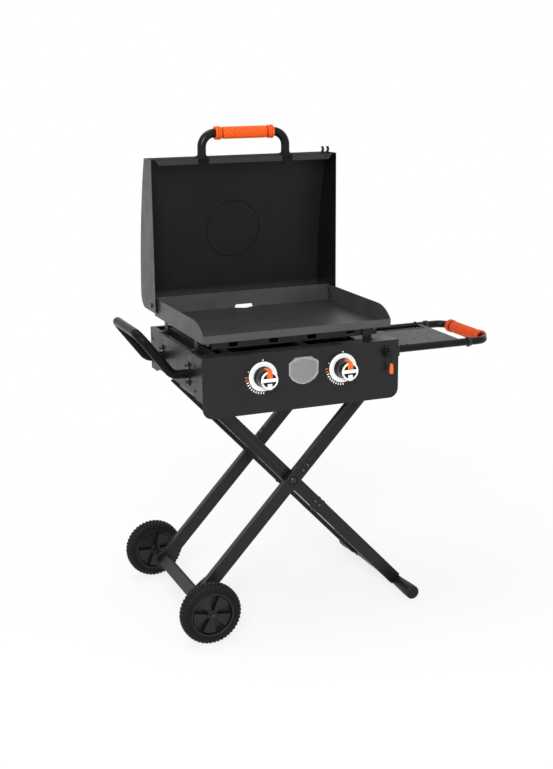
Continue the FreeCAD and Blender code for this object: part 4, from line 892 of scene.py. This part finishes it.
def tube_bolts():
    """Screws in the tow handle's tubes and under its collars."""
    near, far = TUBE_YS
    top, low = TUBE_TOP - 0.2, span("tow_collars", Z)[0] + 0.2
    rows = [("+z", 494, far, top, 4.4, 3.0), ("+z", 328, near, top, 3.6, 2.6),
            ("+z", 312, near, top, 2.8, 1.8)]
    rows += [("-z", 530, y, low, 4.0, 1.6) for y in TUBE_YS]
    heads("shelf_tube_bolts", "shelf", rows)


def tube_bushes():
    """Bush in the body's side round each tube of the tow handle."""
    bush = [(0, 11.4), (0, 15.5), (5, 15.5), (7.5, 13.6), (7.5, 11.4)]
    bushes = Form()
    for y in TUBE_YS:
        bushes.put(lathe(bush, 40, closed=True), facing("+x", HALF_BODY - 1, y, TUBE_Z))
    bushes.piece("tube_bushes", "base", "black_plastic")


# Welds, post screws, gas fittings and cup rim

def foot_welds():
    """Rippled bead of weld round the foot bar at both faces of each inner leg."""
    path = []
    for step in range(72):
        angle = math.tau * step / 72
        radius = 14.2 + 0.35 * (step % 3)
        path.append((radius * math.cos(angle), radius * math.sin(angle), 0))
    welds = Form()
    for leg in ("front_inner_leg", "rear_inner_leg"):
        for y in inset(leg, Y, -1.5):
            welds.put(wire(path, 1.9, 7, closed=True), facing("+y", FOOT_X, y, FOOT_Z))
    welds.piece("foot_welds", "foot_frame", "leg_tube", finish="black_tube")


def post_screws():
    """Low screw heads on the body's top, beside the posts that carry the griddle."""
    low_head = [(-0.2, 0), (-0.2, 7), (1.4, 7), (2.6, 5.8), (2.6, 0)]
    screws = Form()
    for x, y in ((-275, 80), (-275, 341), (275, 341), (214, 17)):
        screws.put(lathe(low_head, 24), Matrix.Translation((x, y, BODY_TOP + 1.9)))
    screws.piece("post_screws", "base", "black_bolts")


def ridged(along, radius, angle):
    """A hand wheel's ribs."""
    return radius + (0.9 if 3 < along < 15 and math.sin(18 * angle) > 0 else 0)


def gas_fittings():
    """Ribbed hand wheel of the gas inlet, and the cap and five screws of the regulator."""
    low, high = span("regulator", Z)
    wheel = [(0, 16.8), (0, 19.5), (2.5, 21.4), (3.5, 21.6), (15, 21.6), (16, 21.4), (18, 19.5),
             (18, 16.8)]
    gas = Form().put(lathe(wheel, 108, ridged, closed=True), Matrix.Translation((GAS_X, GAS_Y, low + 0.4)))
    gas.piece("inlet_wheel", "base", "black_plastic", smooth=30)
    cover = [(0, 0), (0, 9), (2.4, 9), (3.2, 8), (3.2, 4.6), (2.2, 4), (2.2, 0)]
    cap = Form().put(lathe(cover), Matrix.Translation((GAS_X, GAS_Y, high - 2.3)))
    flange = Matrix.Translation((GAS_X, GAS_Y, high - 15.4))
    for step in range(5):
        turn = Matrix.Rotation(math.radians(36 + 72 * step), 4, "Z")
        cap.put(button(2.6, 2.0), flange @ turn @ Matrix.Translation((26.4, 0, 0)))
    cap.piece("regulator_screws", "base", "zinc", smooth=30)


def cup_rim():
    """Rolled wire round the grease cup's upper edge."""
    left, right = inset("grease_cup", X, 0.1)
    front, back = span("grease_cup", Y)
    front, back, top = front + 0.2, back - 0.3, span("grease_cup", Z)[1] - 0.2
    corners = [(left, front, top), (right, front, top), (right, back, top), (left, back, top)]
    Form().put(wire(corners, 1.3, closed=True)).piece("cup_rim", "cup", "cup_sheet")


# Light, floor and camera

WORLD_LIGHT = 0.6
FLOOR_HALF, FLOOR_DROP = 14, 0.0005
FLOOR_GLOW, FADE_START, FADE_END = 0.78, 0.6, 1.9

# Each lamp has a place, a target, the length of its sides and a power
LAMPS = {
    "key": ((-2.2, -4.0, 3.0), (0, 0, 0.7), 1.8, 170),
    "top": ((-0.8, 0.6, 4.4), (0, 0, 0.6), 2.4, 50),
}

# The camera turns by yaw, pitch and roll, in degrees
CAMERA_PLACE = (-1350.6, -3090.0, 1571.7)
CAMERA_TURN = (22.8, 14.7, -0.4)
SENSOR = 36
PHOTO_HIGH = 769
FOCAL_PIXELS = 1263.6
SHIFT_PIXELS = (-5.9, 1.0)


def seen(tree):
    """1 for the camera, for reflections and through glass, 0 for light that falls on things."""
    path = add(tree, "ShaderNodeLightPath")
    value = path.outputs["Is Camera Ray"]
    for name in ("Is Glossy Ray", "Is Transmission Ray"):
        most = add(tree, "ShaderNodeMath", operation="MAXIMUM")
        tree.links.new(value, most.inputs[0])
        tree.links.new(path.outputs[name], most.inputs[1])
        value = most.outputs[0]
    return value


def floor_finish():
    """Pale floor that fades to plain white away from the object and keeps its shadow."""
    made, tree, shader = new_material("floor_white")
    shader.inputs["Roughness"].default_value = 0.95
    shader.inputs["Specular IOR Level"].default_value = 0.0
    cloud = ranged(tree, noise(tree, 0.8, 2), 0, 1)
    tree.links.new(mixed(tree, cloud, (0.89,) * 3, (0.90,) * 3), shader.inputs["Base Color"])
    glow = add(tree, "ShaderNodeEmission", Strength=1.0)
    place = add(tree, "ShaderNodeTexCoord")
    length = add(tree, "ShaderNodeVectorMath", operation="LENGTH")
    tree.links.new(place.outputs["Object"], length.inputs[0])
    far = ranged(tree, length.outputs["Value"], FLOOR_GLOW, 1.0, FADE_START, FADE_END)
    share = add(tree, "ShaderNodeMath", operation="MULTIPLY")
    tree.links.new(far, share.inputs[0])
    tree.links.new(seen(tree), share.inputs[1])
    mix = add(tree, "ShaderNodeMixShader")
    tree.links.new(share.outputs[0], mix.inputs["Fac"])
    tree.links.new(shader.outputs[0], mix.inputs[1])
    tree.links.new(glow.outputs[0], mix.inputs[2])
    tree.links.new(mix.outputs[0], tree.nodes["Material Output"].inputs["Surface"])
    return made


def floor():
    """Level ground just under the wheels and feet."""
    mesh = bpy.data.meshes.new("floor")
    form = bmesh.new()
    bmesh.ops.create_grid(form, x_segments=2, y_segments=2, size=FLOOR_HALF)
    form.to_mesh(mesh)
    form.free()
    mesh.materials.append(floor_finish())
    item = bpy.data.objects.new("floor", mesh)
    bpy.context.scene.collection.objects.link(item)
    item.location = (0, 0, -FLOOR_DROP)


def lamp(name, place, target, wide, power):
    """Square area light at a place in metres, turned to a target."""
    data = bpy.data.lights.new(name, "AREA")
    data.shape = "RECTANGLE"
    data.size = wide
    data.size_y = wide
    data.energy = power
    item = bpy.data.objects.new(name, data)
    bpy.context.scene.collection.objects.link(item)
    item.location = place
    item.rotation_euler = (Vector(target) - Vector(place)).to_track_quat("-Z", "Y").to_euler()


def world():
    """White surround, dimmer as light than as what the camera and reflections see."""
    made = bpy.data.worlds.new("studio")
    bpy.context.scene.world = made
    made.use_nodes = True
    tree = made.node_tree
    back = tree.nodes["Background"]
    back.inputs["Color"].default_value = (1, 1, 1, 1)
    tree.links.new(ranged(tree, seen(tree), WORLD_LIGHT, 1.0, 0, 1), back.inputs["Strength"])


def camera():
    """The photo's own view, from its focal length and shift in pixels."""
    data = bpy.data.cameras.new("view")
    data.sensor_width = SENSOR
    data.lens = FOCAL_PIXELS / PHOTO_HIGH * SENSOR
    data.shift_x, data.shift_y = [pixels / PHOTO_HIGH for pixels in SHIFT_PIXELS]
    item = bpy.data.objects.new("view", data)
    bpy.context.scene.collection.objects.link(item)
    yaw, pitch, roll = [math.radians(angle) for angle in CAMERA_TURN]
    ahead = Vector((math.sin(yaw) * math.cos(pitch), math.cos(yaw) * math.cos(pitch), -math.sin(pitch)))
    turn = ahead.to_track_quat("-Z", "Y").to_matrix() @ Matrix.Rotation(roll, 3, "Z")
    place = ORIGIN + Vector(CAMERA_PLACE) * MM
    item.matrix_world = Matrix.Translation(place) @ turn.to_4x4()
    bpy.context.scene.camera = item


# The model

finish_nodes()
soften_nodes()

grip("hood_sleeve", "hood_grip", "hood", "+x", BORE_RADIUS)
grip("tow_sleeve", "tow_grip", "shelf", "+y", TUBE_RADIUS, finish="shaded_tow_rubber")
knob_face("left", -KNOB_X)
knob_face("right", KNOB_X)
knob_rings()
dial_marks()
badge_rim()

body_screws()
hood_screws()
stand_bolts()
# Painted highlights along the inner legs' lower edges
leg_edge_highlights()

for wheel_side in ("front", "rear"):
    wheel_start = span(wheel_side + "_tyre", Y)[0]
    tyre(wheel_side, wheel_start)
    wheel_trim(wheel_side, wheel_start)
axle_nuts()

hood_pressing()
tool_hook()
handle_collars()
lock_housing()
# Painted shade in the shelf's rear channel
rack_painted_shade()
tube_bolts()
tube_bushes()
foot_welds()
post_screws()
gas_fittings()
cup_rim()

floor()
world()
for lamp_name, settings in LAMPS.items():
    lamp(lamp_name, *settings)
camera()
bpy.context.scene.view_settings.view_transform = "Standard"
